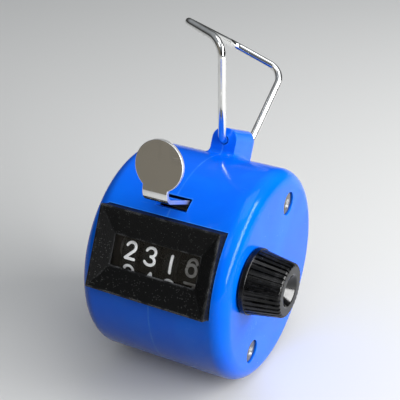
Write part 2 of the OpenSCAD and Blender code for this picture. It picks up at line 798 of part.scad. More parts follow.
// Leaf pawl on the arm that pushes the ratchet round as the lever returns
module drive_pawl() {
    root = [pawl_root_y, pawl_root_z];
    tip = [train_y, train_z] + (ratchet_tip + leaf_t) * [cos(-80), sin(-80)];
    color("slategray") laid_back() plate_x(pawl_x, arm_in) difference() {
        union() {
            translate(root) circle(pawl_eye_r);
            leaf(root + [0, -pawl_eye_r + leaf_t], tip);
        }
        translate(root) circle(pawl_rivet_r + hole_ease);
    }
}

module pawl_rivet() {
    color("silver") laid_back() {
        bar_x(pawl_x, arm_out, pawl_rivet_r, pawl_root_y, pawl_root_z);
        bar_x(pawl_x - 0.4, pawl_x, pawl_rivet_r + 0.4, pawl_root_y, pawl_root_z);
    }
}

// Corner points of the loop: foot, fold and end bar, front then rear
function set_back(y, h) = [y * cos(loop_set) + h * sin(loop_set), h * cos(loop_set) - y * sin(loop_set)];
function loop_point(x, y, h) = let (p = set_back(y, h)) [x, loop_y + p[0], hole_z + p[1]];
fold_x = -loop_fold_len * sin(loop_fold);
fold_h = loop_rise + loop_fold_len * cos(loop_fold);
LOOP = [[0, loop_y - loop_foot / 2, hole_z], loop_point(0, -loop_span / 2, loop_rise),
    loop_point(fold_x, -loop_end / 2, fold_h), loop_point(fold_x, loop_end / 2, fold_h),
    loop_point(0, loop_span / 2, loop_rise), [0, loop_y + loop_foot / 2, hole_z]];
LOOP_BEND = [foot_bend, fold_bend, end_bend, end_bend, fold_bend, foot_bend];

function unit(v) = v / norm(v);
function corner_u(i) = unit(LOOP[(i + 5) % 6] - LOOP[i]);
function corner_v(i) = unit(LOOP[(i + 1) % 6] - LOOP[i]);
function corner_angle(i) = acos(corner_u(i) * corner_v(i));
function corner_cut(i) = LOOP_BEND[i] / tan(corner_angle(i) / 2);

// Bend of the wire at one corner
module loop_bend(i) {
    u = corner_u(i);
    v = corner_v(i);
    mid = LOOP[i] + unit(u + v) * LOOP_BEND[i] / sin(corner_angle(i) / 2);
    e1 = unit(LOOP[i] + u * corner_cut(i) - mid);
    n = unit(cross(e1, LOOP[i] + v * corner_cut(i) - mid));
    e2 = cross(n, e1);
    multmatrix([for (k = [0 : 2]) [e1[k], e2[k], n[k], mid[k]]])
        rotate_extrude(angle = 180 - corner_angle(i))
            translate([LOOP_BEND[i], 0]) circle(wire_r - bend_thin);
}

// Straight stretch of the wire from one corner to the next
module loop_straight(i) {
    j = (i + 1) % 6;
    p = LOOP[i] + corner_v(i) * (corner_cut(i) - bend_lap);
    q = LOOP[j] + corner_u(j) * (corner_cut(j) - bend_lap);
    d = unit(q - p);
    translate(p) rotate([0, acos(d[2]), atan2(d[1], d[0])]) cylinder(h = norm(q - p), r = wire_r);
}

module finger_loop() {
    color("silver") laid_back() for (i = [0 : 5]) {
        loop_bend(i);
        loop_straight(i);
    }
}

left_case();
right_case();
case_screws();
bezel();
window_pane();
frame_plate_left();
frame_plate_right();
frame_spacers();
number_shaft();
shaft_clip();
shaft_bush();
reset_knob();
number_wheel_thousands();
number_wheel_hundreds();
number_wheel_tens();
number_wheel_units();
ratchet_wheel();
pinion_shaft();
pinion_bushes();
carry_pinion_thousands();
carry_pinion_hundreds();
carry_pinion_tens();
detent_spring();
thumb_lever();
lever_pin();
lever_spring();
drive_pawl();
pawl_rivet();
finger_loop();
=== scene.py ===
import json
from math import acos, asin, atan2, cos, degrees, pi, radians, sin, sqrt, tan

import bmesh
import bpy
from mathutils import Matrix, Quaternion, Vector

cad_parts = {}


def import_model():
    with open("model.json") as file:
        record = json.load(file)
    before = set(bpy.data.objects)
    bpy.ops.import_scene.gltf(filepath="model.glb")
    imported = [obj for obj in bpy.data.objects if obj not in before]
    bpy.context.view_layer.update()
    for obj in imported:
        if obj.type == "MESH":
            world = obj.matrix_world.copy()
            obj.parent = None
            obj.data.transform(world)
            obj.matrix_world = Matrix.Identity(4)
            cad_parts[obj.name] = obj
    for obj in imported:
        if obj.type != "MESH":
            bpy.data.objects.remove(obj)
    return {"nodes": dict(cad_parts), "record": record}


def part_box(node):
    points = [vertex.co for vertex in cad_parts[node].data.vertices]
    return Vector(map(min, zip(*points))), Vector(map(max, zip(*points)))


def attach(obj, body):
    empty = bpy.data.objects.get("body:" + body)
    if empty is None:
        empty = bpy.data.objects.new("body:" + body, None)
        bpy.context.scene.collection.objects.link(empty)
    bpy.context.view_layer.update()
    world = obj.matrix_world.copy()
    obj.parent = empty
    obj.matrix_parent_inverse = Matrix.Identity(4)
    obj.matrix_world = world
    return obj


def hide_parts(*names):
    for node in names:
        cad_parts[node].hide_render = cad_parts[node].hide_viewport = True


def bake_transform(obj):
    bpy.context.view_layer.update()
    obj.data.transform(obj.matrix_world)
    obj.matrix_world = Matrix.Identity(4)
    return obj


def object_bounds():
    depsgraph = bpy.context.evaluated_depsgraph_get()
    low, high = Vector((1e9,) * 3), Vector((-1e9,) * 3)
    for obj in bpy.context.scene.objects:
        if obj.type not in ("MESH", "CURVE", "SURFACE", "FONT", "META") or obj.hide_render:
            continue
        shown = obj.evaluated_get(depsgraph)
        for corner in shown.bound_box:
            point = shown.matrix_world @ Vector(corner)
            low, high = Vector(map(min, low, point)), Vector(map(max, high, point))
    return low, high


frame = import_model()
cad_low, cad_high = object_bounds()
record = frame["record"]

# Pieces are modelled upright in millimetres: X along the drum to the knob, window at -Y, loop on top
MM = 0.001
case_low, case_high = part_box("left_case")
HALF_W = case_high.x / MM
CASE_R = -case_low.z / MM
REST_LEAN = radians(25)
LAID_BACK = Matrix.Scale(MM, 4) @ Matrix.Rotation(-REST_LEAN, 4, "X") @ Matrix.Translation((HALF_W, 0, 0))
MIDDLE = Vector((HALF_W, 0, 0)) * MM

CASE_ROUND = 3.3
CASE_WALL = 1.8
OPENING_ROUND = 0.12
SCREWS = ((0.3, 15.6), (-2.9, -15.4))
SCREW_D = 2
SCREW_LEN = 22
HEAD_D = 4.7
HEAD_H = 1.3
HEAD_DOME = 0.12
HEAD_SUNK = 0.25
HEAD_ROUND = 0.05
CROSS_W = 0.95
CROSS_LEN = 3.2
CROSS_DEEP = 0.8
CROSS_TURNS = (-46, 44)
BORE_CLEAR = 0.05
WELL_CLEAR = 0.1
BOSS_D = 5.2

LUG_W = 5.7
LUG_LEN = 12
LUG_AHEAD = 0.9
LUG_ROUND = 2.4
LUG_EDGE = 0.1
LUG_FILLET = 1.1
LUG_SKIRT = 0.4
CROWN_Z = CASE_R + 5.7
WIRE_R = 0.85
WIRE_CLEAR = 0.1
HOLE_Z = CROWN_Z - 2.6
LOOP_Y = 5.8

BEZEL_W = 26.2
BEZEL_H = 16.8
BEZEL_Z = 0.94
BEZEL_FRONT = -CASE_R - 1.26
BEZEL_DEPTH = 4.5
BEZEL_RIM = 0.5
BEZEL_WALL = 1.6
BEZEL_ROUND = 0.36
FUNNEL_ROUND = 0.14
FUNNEL = 1.7
WINDOW_W = 18.8
WINDOW_H = 6.15
WINDOW_Z = BEZEL_Z - 0.08
WINDOW_LIP = 0.2
PANE_T = 0.8
PANE_LAP = 0.6
PANE_ROUND = 0.08
SEAT = 0.1

TRAIN_Y = -12.2
TRAIN_Z = 0.55
WHEEL_R = 7.8
WHEEL_PITCH = 4.7
WHEEL_SHIFT = 0.3
PLATE_OUT = 12.7

SHEET = 0.85
SHEET_ROUND = 0.12
SHANK_W = 6
SHANK_Z = 12.5
PAD_R = 5
PAD_SHIFT = 0.35
NECK_W = 5.3
PAD_LEAN = radians(12.7)
PAD_BEND = 1.6
BEND_Y = -CASE_R - 2.65
PIN_Y = TRAIN_Y + 1
PIN_Z = SHANK_Z - 1.05
CURL_R = 1.9
CURL_RIGHT = 0.5
WEB_FRONT = TRAIN_Y - 3.1
WEB_REAR = TRAIN_Y - 1.3
WEB_LAP = 0.5
WEB_SHY = 0.02
ARM_OUT = 11.5
ARM_WINDOW_R = 2.5
ARM_TRAVEL = 1.9
SLOT_W = 6.9
SLOT_LOW = 11.1
SLOT_TOP = 13.65

KNOB_R = 6.7
KNOB_END_R = 5.4
KNOB_X = HALF_W + 0.3
KNOB_END = HALF_W + 8.3
KNOB_HOLE_R = 3.1
KNOB_FLANGE = 1.1
KNOB_RIBS = 32
RIB_DEPTH = 0.45
DISH_R = 3.2
DISH_DEEP = 1.85


def linear(red, green, blue):
    """Colour written as screen values from 0 to 255."""
    return tuple((c / 255) ** 2.2 for c in (red, green, blue)) + (1,)


# Shapes


def arc(across, up, radius, start, end, steps):
    """Points on an arc about (across, up), with angles in degrees."""
    angles = [radians(start + (end - start) * i / steps) for i in range(steps + 1)]
    return [(across + radius * cos(a), up + radius * sin(a)) for a in angles]


def block(low, high):
    """Box between two corners."""
    bm = bmesh.new()
    size = Vector(high) - Vector(low)
    middle = (Vector(high) + Vector(low)) / 2
    bmesh.ops.create_cube(bm, size=1, matrix=Matrix.Translation(middle) @ Matrix.Diagonal((*size, 1)))
    return bm


def turned(profile, y=0, z=0, steps=64):
    """Solid turned about an axis along X, from points of place along it and radius."""
    bm = bmesh.new()
    verts = [bm.verts.new((x, 0, r)) for x, r in profile]
    edges = [bm.edges.new(pair) for pair in zip(verts, verts[1:])]
    bmesh.ops.spin(bm, geom=verts + edges, cent=(0, 0, 0), axis=(1, 0, 0), angle=2 * pi, steps=steps,
                   use_merge=True)
    bmesh.ops.remove_doubles(bm, verts=bm.verts, dist=1e-4)
    bmesh.ops.recalc_face_normals(bm, faces=bm.faces)
    bmesh.ops.translate(bm, verts=bm.verts, vec=(0, y, z))
    return bm


def bar(x0, x1, radius, y, z):
    """Plain round bar along X."""
    return turned([(x0, 0), (x0, radius), (x1, radius), (x1, 0)], y, z)


def in_order(bm):
    """Sorts a mesh along a slanting line, because a cut can leave it in another order each time."""
    slant = Vector((0.577, 0.613, 0.541))
    bm.verts.sort(key=lambda v: v.co.dot(slant))
    bm.edges.sort(key=lambda e: (e.verts[0].co + e.verts[1].co).dot(slant))
    bm.faces.sort(key=lambda f: f.calc_center_median().dot(slant))


def combine(body, tool, operation):
    """Body joined with the tool, or cut by it, as one closed mesh."""
    solids = []
    for bm in (body, tool):
        mesh = bpy.data.meshes.new("solid")
        bm.to_mesh(mesh)
        bm.free()
        solids.append(bpy.data.objects.new("solid", mesh))
        bpy.context.collection.objects.link(solids[-1])
    modifier = solids[0].modifiers.new("combine", "BOOLEAN")
    modifier.object = solids[1]
    modifier.operation = operation
    modifier.solver = "EXACT"
    result = bmesh.new()
    result.from_object(solids[0], bpy.context.evaluated_depsgraph_get())
    in_order(result)
    for solid in solids:
        bpy.data.meshes.remove(solid.data)
    return result


def wire_mesh(strokes, radius):
    """Round wire along strokes: points with their share of the radius, and whether the stroke closes."""
    curve = bpy.data.curves.new("wire", "CURVE")
    curve.dimensions = "3D"
    curve.bevel_depth = radius
    curve.bevel_resolution = 2
    curve.use_fill_caps = True
    for points, closed in strokes:
        spline = curve.splines.new("POLY")
        spline.points.add(len(points) - 1)
        spline.use_cyclic_u = closed
        for point, (place, share) in zip(spline.points, points):
            point.co = (*place.to_3d(), 1)
            point.radius = share
    obj = bpy.data.objects.new("wire", curve)
    mesh = bpy.data.meshes.new_from_object(obj)
    bpy.data.objects.remove(obj)
    bpy.data.curves.remove(curve)
    return mesh


def round_edges(bm, width, steps=2, sharper_than=40, chosen=None):
    """Rounds the edges that are sharper than an angle in degrees."""
    sharp = [e for e in bm.edges if e.calc_face_angle(0) > radians(sharper_than)]
    edges = [e for e in sharp if not chosen or chosen(e)]
    bmesh.ops.bevel(bm, geom=edges, offset=width, offset_type="OFFSET", affect="EDGES", segments=steps,
                    profile=0.5, material=-1, clamp_overlap=True)


def flat_shaded(bm, finishes):
    """Mesh whose broad faces shade flat up to their rounded edges, worked out in millimetres."""
    mesh = bpy.data.meshes.new("rounded")
    bm.to_mesh(mesh)
    bm.free()
    for finish in finishes:
        mesh.materials.append(finish)
    obj = bpy.data.objects.new("rounded", mesh)
    bpy.context.collection.objects.link(obj)
    modifier = obj.modifiers.new("flat_faces", "WEIGHTED_NORMAL")
    modifier.keep_sharp = True
    shaded = bpy.data.meshes.new_from_object(obj.evaluated_get(bpy.context.evaluated_depsgraph_get()))
    bpy.data.meshes.remove(mesh)
    return shaded


def piece(name, bm, finishes, body, stands_for=(), sharper_than=40):
    """Lays the mesh back into the row frame as a piece that rides on a body, if one is given."""
    for face in bm.faces:
        face.smooth = True
    for edge in bm.edges:
        edge.smooth = edge.calc_face_angle(0) < radians(sharper_than)
    mesh = flat_shaded(bm, finishes)
    mesh.transform(LAID_BACK)
    mesh.name = name
    obj = bpy.data.objects.new(name, mesh)
    bpy.context.collection.objects.link(obj)
    if body:
        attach(obj, body)
    if stands_for:
        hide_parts(*stands_for)
    return obj


# Surface effects


def add(tree, kind, inputs=None, **options):
    """Adds a shader node, with its options set and its inputs set or linked."""
    node = tree.nodes.new("ShaderNode" + kind)
    for name, value in options.items():
        setattr(node, name, value)
    for name, value in (inputs or {}).items():
        feed(tree, node.inputs[name], value)
    return node


def feed(tree, socket, value):
    """Links a socket to another one, or sets it."""
    if isinstance(value, bpy.types.NodeSocket):
        tree.links.new(value, socket)
    else:
        socket.default_value = value


def place_on(tree, stretch=(1, 1, 1), turn=(0, 0, 0)):
    """Place on the object, which may be stretched and turned for a pattern with a direction."""
    place = add(tree, "TexCoord").outputs["Object"]
    return add(tree, "Mapping", {"Vector": place, "Scale": stretch, "Rotation": turn}).outputs["Vector"]


def spread(tree, value, low, high, to_low=0.0, to_high=1.0):
    """Value taken from one range to another, smoothly and without going past its ends."""
    return add(tree, "MapRange", {"Value": value, "From Min": low, "From Max": high, "To Min": to_low,
                                  "To Max": to_high}, interpolation_type="SMOOTHSTEP").outputs["Result"]


def worked(tree, operation, first, second):
    """Sum, product or other plain working of two values."""
    node = add(tree, "Math", operation=operation)
    feed(tree, node.inputs[0], first)
    feed(tree, node.inputs[1], second)
    return node.outputs["Value"]


def blend(tree, mask, below, above):
    """Colour that goes over to another one where a mask is full."""
    node = add(tree, "Mix", data_type="RGBA")
    feed(tree, node.inputs[0], mask)
    feed(tree, node.inputs[6], below)
    feed(tree, node.inputs[7], above)
    return node.outputs[2]


def new_effect(name, inputs, output):
    """Empty node group with number inputs and one number output."""
    tree = bpy.data.node_groups.new(name, "ShaderNodeTree")
    for label, value in inputs.items():
        socket = tree.interface.new_socket(label, in_out="INPUT", socket_type="NodeSocketFloat")
        socket.default_value = value
    tree.interface.new_socket(output, in_out="OUTPUT", socket_type="NodeSocketFloat")
    return tree, tree.nodes.new("NodeGroupInput").outputs, tree.nodes.new("NodeGroupOutput").inputs[output]


def moulded_grain():
    """Fine uneven texture of a moulded face."""
    tree, given, height = new_effect("moulded_grain", {"Scale": 2600}, "Height")
    place = place_on(tree)
    grain = add(tree, "TexNoise", {"Vector": place, "Scale": given["Scale"], "Detail": 3, "Roughness": 0.6})
    pits = add(tree, "TexVoronoi", {"Vector": place, "Scale": given["Scale"]})
    tree.links.new(worked(tree, "ADD", grain.outputs["Fac"], pits.outputs["Distance"]), height)
    return tree


def smudges():
    """Soft patches left by handling."""
    tree, given, mask = new_effect("smudges", {"Scale": 120, "Cover": 0.5}, "Mask")
    cloud = add(tree, "TexNoise", {"Vector": place_on(tree), "Scale": given["Scale"], "Detail": 5,
                                   "Roughness": 0.62, "Distortion": 0.8})
    start = worked(tree, "SUBTRACT", 0.78, worked(tree, "MULTIPLY", given["Cover"], 0.5))
    tree.links.new(spread(tree, cloud.outputs["Fac"], start, worked(tree, "ADD", start, 0.18)), mask)
    return tree


def scratches():
    """Thin lines in two directions, in patches."""
    tree, given, mask = new_effect("scratches", {"Scale": 40, "Cover": 0.4}, "Mask")
    lines = []
    for turn in ((0.3, 0.5, 0.4), (1.1, -0.4, 2.0)):
        place = place_on(tree, (1, 16, 16), turn)
        streak = add(tree, "TexNoise", {"Vector": place, "Scale": given["Scale"], "Detail": 1})
        off = worked(tree, "ABSOLUTE", worked(tree, "SUBTRACT", streak.outputs["Fac"], 0.5), 0)
        lines.append(spread(tree, off, 0.001, 0.006, 1, 0))
    patch_scale = worked(tree, "MULTIPLY", given["Scale"], 3)
    patch = add(tree, "TexNoise", {"Vector": place_on(tree), "Scale": patch_scale})
    start = worked(tree, "SUBTRACT", 0.75, worked(tree, "MULTIPLY", given["Cover"], 0.4))
    patch = spread(tree, patch.outputs["Fac"], start, worked(tree, "ADD", start, 0.1))
    tree.links.new(worked(tree, "MULTIPLY", worked(tree, "MAXIMUM", *lines), patch), mask)
    return tree


def dust_and_glint_specks():
    """Tiny specks that lie here and there."""
    tree, given, mask = new_effect("dust_and_glint_specks", {"Scale": 1500, "Share": 0.1, "Size": 0.25}, "Mask")
    cells = add(tree, "TexVoronoi", {"Vector": place_on(tree), "Scale": given["Scale"]})
    chance = add(tree, "SeparateColor", {"Color": cells.outputs["Color"]}).outputs["Red"]
    here = worked(tree, "LESS_THAN", chance, given["Share"])
    half = worked(tree, "MULTIPLY", given["Size"], 0.6)
    speck = spread(tree, cells.outputs["Distance"], half, given["Size"], 1, 0)
    tree.links.new(worked(tree, "MULTIPLY", speck, here), mask)
    return tree


def worn_and_highlit_edges():
    """Edges that handling has worn, with a painted highlight along them, found by how far a rounded normal
    leans from the plain one.
    """
    tree, given, mask = new_effect("worn_and_highlit_edges", {"Reach": 0.0003, "Whole": 0.1}, "Mask")
    rounded = add(tree, "Bevel", {"Radius": given["Reach"]}, samples=6).outputs["Normal"]
    plain_normal = add(tree, "NewGeometry").outputs["Normal"]
    along = add(tree, "VectorMath", operation="DOT_PRODUCT")
    tree.links.new(rounded, along.inputs[0])
    tree.links.new(plain_normal, along.inputs[1])
    edge = spread(tree, along.outputs["Value"], 0.9, 0.995, 1, 0)
    edge_wear_and_highlight = add(tree, "TexNoise", {"Vector": place_on(tree), "Scale": 500, "Detail": 3})
    edge_patches = spread(tree, edge_wear_and_highlight.outputs["Fac"], 0.44, 0.62, given["Whole"])
    tree.links.new(worked(tree, "MULTIPLY", edge, edge_patches), mask)
    return tree


GRAIN = moulded_grain()
SMUDGES = smudges()
SCRATCHES = scratches()
SPECKS = dust_and_glint_specks()
EDGES = worn_and_highlit_edges()


# Materials


def new_material(name):
    material = bpy.data.materials.new(name)
    material.use_nodes = True
    return material, material.node_tree, material.node_tree.nodes["Principled BSDF"]


def effect(tree, group, **values):
    """Places an effect in a material with its own values."""
    node = add(tree, "Group", node_tree=group)
    for name, value in values.items():
        node.inputs[name].default_value = value
    return node.outputs[0]


def faded(tree, mask, strength):
    return worked(tree, "MULTIPLY", mask, strength)


def bumped(tree, shader, height, strength, distance):
    bump = add(tree, "Bump", {"Height": height, "Strength": strength, "Distance": distance})
    tree.links.new(bump.outputs["Normal"], shader.inputs["Normal"])


def gloss_blue():
    """Glossy blue plastic with faint flow marks, fine scratches, smudges, and pale edges that are partly
    wear, partly a painted highlight.
    """
    material, tree, shader = new_material("case_blue")
    flow = add(tree, "TexNoise", {"Vector": place_on(tree), "Scale": 60, "Detail": 3, "Distortion": 1.2})
    smudge = effect(tree, SMUDGES, Scale=130, Cover=0.55)
    scratch = effect(tree, SCRATCHES, Scale=45, Cover=0.45)
    edge = effect(tree, EDGES, Reach=0.0005, Whole=0.5)
    specks = effect(tree, SPECKS, Scale=1100, Share=0.012, Size=0.14)
    flow_mask = spread(tree, flow.outputs["Fac"], 0.3, 0.7)
    colour = blend(tree, flow_mask, linear(0, 103, 247), linear(0, 112, 253))
    # Pale blue along the edges and the seam: partly wear, partly a painted highlight.
    colour = blend(tree, faded(tree, edge, 0.45), colour, linear(80, 165, 255))
    colour = blend(tree, faded(tree, scratch, 0.3), colour, linear(70, 150, 255))
    colour = blend(tree, faded(tree, specks, 0.5), colour, linear(170, 200, 240))
    rough = worked(tree, "ADD", spread(tree, smudge, 0, 1, 0.12, 0.2), faded(tree, scratch, 0.12))
    feed(tree, shader.inputs["Base Color"], colour)
    feed(tree, shader.inputs["Roughness"], rough)
    shader.inputs["Specular IOR Level"].default_value = 0.22
    shader.inputs["Specular Tint"].default_value = (0.6, 0.8, 1, 1)
    bumped(tree, shader, effect(tree, GRAIN, Scale=700), 0.05, 0.0001)
    return material


def moulded_black(name, tone, edge_wear_and_highlight, rough, shine, grain, depth, specks):
    """Black plastic with a moulded grain, pale specks painted on it as glints, and worn edges with a
    painted highlight along them.
    """
    material, tree, shader = new_material(name)
    height = effect(tree, GRAIN, Scale=grain)
    smudge = effect(tree, SMUDGES, Scale=180, Cover=0.5)
    colour = blend(tree, smudge, tone, tuple(0.8 * c for c in tone[:3]) + (1,))
    # Paler along the edges: partly wear, partly a painted highlight.
    colour = blend(tree, faded(tree, effect(tree, EDGES, Reach=0.0006), 0.8), colour, edge_wear_and_highlight)
    # Pale specks here are painted glints on the grain.
    pale = effect(tree, SPECKS, Scale=4200, Share=specks, Size=0.34)
    colour = blend(tree, pale, colour, linear(95, 96, 95))
    feed(tree, shader.inputs["Base Color"], colour)
    feed(tree, shader.inputs["Roughness"], spread(tree, smudge, 0, 1, rough, rough + 0.12))
    shader.inputs["Specular IOR Level"].default_value = shine
    bumped(tree, shader, height, depth, 0.0001)
    return material


def plated(name, bright, dull, rough, marks=0.4):
    """Metal with fine scratches, smudges and a slightly uneven plating."""
    material, tree, shader = new_material(name)
    smudge = effect(tree, SMUDGES, Scale=200, Cover=0.6)
    scratch = effect(tree, SCRATCHES, Scale=70, Cover=0.5)
    worn = worked(tree, "MAXIMUM", smudge, scratch)
    smudged = spread(tree, smudge, 0, 1, rough, rough + 0.08)
    feed(tree, shader.inputs["Base Color"], blend(tree, faded(tree, worn, marks), bright, dull))
    feed(tree, shader.inputs["Roughness"], worked(tree, "ADD", smudged, faded(tree, scratch, 0.15)))
    shader.inputs["Metallic"].default_value = 1
    bumped(tree, shader, effect(tree, GRAIN, Scale=900), 0.06, 0.00005)
    return material


def pale_plastic(name, clean, worn, rough, cover):
    """White print or nylon, with uneven patches and a fine grain."""
    material, tree, shader = new_material(name)
    patch = effect(tree, SMUDGES, Scale=900, Cover=cover)
    colour = blend(tree, patch, clean, worn)
    colour = blend(tree, effect(tree, SPECKS, Scale=3000, Share=0.05, Size=0.2), colour, linear(70, 70, 70))
    feed(tree, shader.inputs["Base Color"], colour)
    feed(tree, shader.inputs["Roughness"], spread(tree, patch, 0, 1, rough, rough + 0.15))
    bumped(tree, shader, effect(tree, GRAIN, Scale=4000), 0.15, 0.00005)
    return material


def clear_plastic():
    """Clear pane with faint smudges."""
    material, tree, shader = new_material("clear_pane")
    smudge = effect(tree, SMUDGES, Scale=160, Cover=0.4)
    feed(tree, shader.inputs["Roughness"], spread(tree, smudge, 0, 1, 0.0, 0.05))
    feed(tree, shader.inputs["Base Color"], blend(tree, smudge, (1, 1, 1, 1), (0.94, 0.95, 0.95, 1)))
    shader.inputs["Transmission Weight"].default_value = 1
    shader.inputs["IOR"].default_value = 1.35
    return material


BLUE = gloss_blue()
# Each black's second colour is its edge colour: partly wear, partly a painted highlight.
BLACK = moulded_black("bezel_black", linear(10, 11, 12), linear(125, 127, 130),
                      rough=0.52, shine=0.18, grain=4600, depth=0.6, specks=0.16)
KNOB_BLACK = moulded_black("knob_black", linear(8, 9, 11), linear(60, 60, 62),
                           rough=0.24, shine=0.26, grain=5200, depth=0.03, specks=0.01)
DISH_BLACK = moulded_black("dish_black", linear(8, 9, 11), linear(40, 40, 42),
                           rough=0.17, shine=0.55, grain=5200, depth=0.004, specks=0.004)
WHEEL_BLACK = moulded_black("wheel_black", linear(20, 21, 21), linear(24, 25, 25),
                            rough=0.6, shine=0.1, grain=4200, depth=0.07, specks=0.02)
CHROME = plated("bright_plate", (0.86, 0.86, 0.85, 1), (0.62, 0.61, 0.59, 1), 0.06)
CUT_EDGE = plated("cut_edge", (0.9, 0.9, 0.9, 1), (0.7, 0.7, 0.7, 1), 0.42)
ZINC = plated("zinc_steel", (0.85, 0.85, 0.82, 1), (0.5, 0.5, 0.46, 1), 0.18, 0.7)
# Screw heads in a steel far darker than the zinc plating, a painted dark reflection; the cross recess takes
# a bright steel, partly wear from the driver, partly a painted glint.
SHADED_SCREW_STEEL = plated("shaded_screw_steel", (0.24, 0.24, 0.24, 1), (0.12, 0.12, 0.12, 1), 0.2, 0.7)
RUBBED_GLINT_STEEL = plated("rubbed_glint_steel", (0.95, 0.95, 0.95, 1), (0.8, 0.8, 0.8, 1), 0.3, 0.5)
# Dark steel standing in for the shade inside the case: painted shade on the inner frame, pins, shafts and
# the lever's web.
INNER_SHADE_STEEL = plated("inner_shade_steel", (0.13, 0.13, 0.12, 1), (0.07, 0.065, 0.06, 1), 0.34)
# Spring steel made dark as painted shade where it shows through the slot under the shank.
SHADED_SPRING = plated("spring_steel", (0.2, 0.2, 0.21, 1), (0.12, 0.12, 0.12, 1), 0.28)
BRASS = plated("ratchet_brass", (0.78, 0.57, 0.27, 1), (0.5, 0.34, 0.15, 1), 0.28)
NYLON = pale_plastic("white_nylon", linear(226, 223, 214), linear(200, 196, 184), 0.42, 0.5)
NUMERAL = pale_plastic("numeral_white", linear(240, 242, 244), linear(205, 206, 206), 0.45, 0.45)
NUMERAL_GREYER = pale_plastic("numeral_greyer", linear(140, 140, 138), linear(98, 98, 96), 0.5, 0.6)
PANE = clear_plastic()

FINISH = {
    "case_blue": BLUE, "bezel_black": BLACK, "knob_black": KNOB_BLACK, "wheel_black": WHEEL_BLACK,
    "clear_pane": PANE, "bright_plate": CHROME, "zinc_steel": ZINC, "spring_steel": SHADED_SPRING,
    "ratchet_brass": BRASS, "white_nylon": NYLON,
}
# Inner parts that show through the slot take the dark steel as painted shade.
INNER_SHADE_NODES = ("frame_plate_left", "frame_plate_right", "frame_spacers", "lever_pin", "number_shaft",
               "pinion_shaft")
for subpart in record["subparts"]:
    mesh = frame["nodes"][subpart["node"]].data
    mesh.materials.clear()
    mesh.materials.append(INNER_SHADE_STEEL if subpart["node"] in INNER_SHADE_NODES else FINISH[subpart["material_slot"]])


# Case


def drum(radius, half_width, rounding):
    """Closed drum with rounded end edges."""
    rows = 13
    straight = half_width - rounding
    right = [(straight * i / rows, radius) for i in range(rows)]
    right += arc(straight, radius - rounding, rounding, 90, 0, 10)
    right += [(half_width, 0)]
    left = [(-x, r) for x, r in reversed(right[1:])]
    return turned(left + right, steps=192)


def lug_outline(out):
    """Lug seen from above, grown by a distance: flat in front, with rounded corners, and round behind."""
    half = LUG_W / 2
    straight_end = LUG_LEN - LUG_AHEAD - half
    corner = half - LUG_EDGE
    corner_y = LUG_EDGE - LUG_AHEAD
    side = [corner_y + (straight_end - corner_y) * i / 9 for i in range(1, 9)]
    points = arc(corner, corner_y, LUG_EDGE + out, -90, 0, 5)
    points += [(half + out, y) for y in side]
    points += arc(0, straight_end, half + out, 0, 180, 24)
    points += [(-half - out, y) for y in reversed(side)]
    points += arc(-corner, corner_y, LUG_EDGE + out, 180, 270, 5)
    return points


def lug():
    """Lug on top of the drum, with a fillet round its foot and a rounded crown."""
    skirt = lug_outline(LUG_FILLET + LUG_SKIRT)
    under = 0.15
    rings = [[(x, y, CASE_R / 2) for x, y in skirt],
             [(x, y, sqrt(CASE_R ** 2 - y ** 2) - under) for x, y in skirt]]
    for step in range(7):
        turn = radians(15 * step)
        out = LUG_FILLET * (1 - sin(turn))
        rise = LUG_FILLET * (1 - cos(turn))
        rings.append([(x, y, sqrt(CASE_R ** 2 - y ** 2) + rise) for x, y in lug_outline(out)])
    for turn in (0, 12, 24, 36, 46, 55, 62, 68, 74, 80, 85, 90):
        height = LUG_ROUND * sin(radians(turn))
        over = max(height - LUG_ROUND + LUG_EDGE, 0)
        inward = LUG_EDGE - sqrt(LUG_EDGE ** 2 - over ** 2)
        narrow = 1 - LUG_ROUND * (1 - cos(radians(turn))) / (LUG_W / 2)
        rings.append([(x * narrow, y, CROWN_Z - LUG_ROUND + height) for x, y in lug_outline(-inward)])
    bm = bmesh.new()
    last = None
    for ring in rings:
        verts = [bm.verts.new(p) for p in ring]
        edges = [bm.edges.new((a, b)) for a, b in zip(verts, verts[1:] + verts[:1])]
        if last:
            bmesh.ops.bridge_loops(bm, edges=last + edges)
        else:
            bm.faces.new(verts)
        last = edges
    bm.faces.new(verts)
    bmesh.ops.recalc_face_normals(bm, faces=bm.faces)
    return bm


def flared_bore(profile, mouth_x, radius, y, z):
    """Tool for a stepped bore along X that widens in a curve where it comes out of a face."""
    mouth = arc(mouth_x - OPENING_ROUND, radius + OPENING_ROUND, OPENING_ROUND, -90, 0, 4)
    past = mouth_x + 1
    return turned(profile + mouth + [(past, radius + OPENING_ROUND), (past, 0)], y, z)


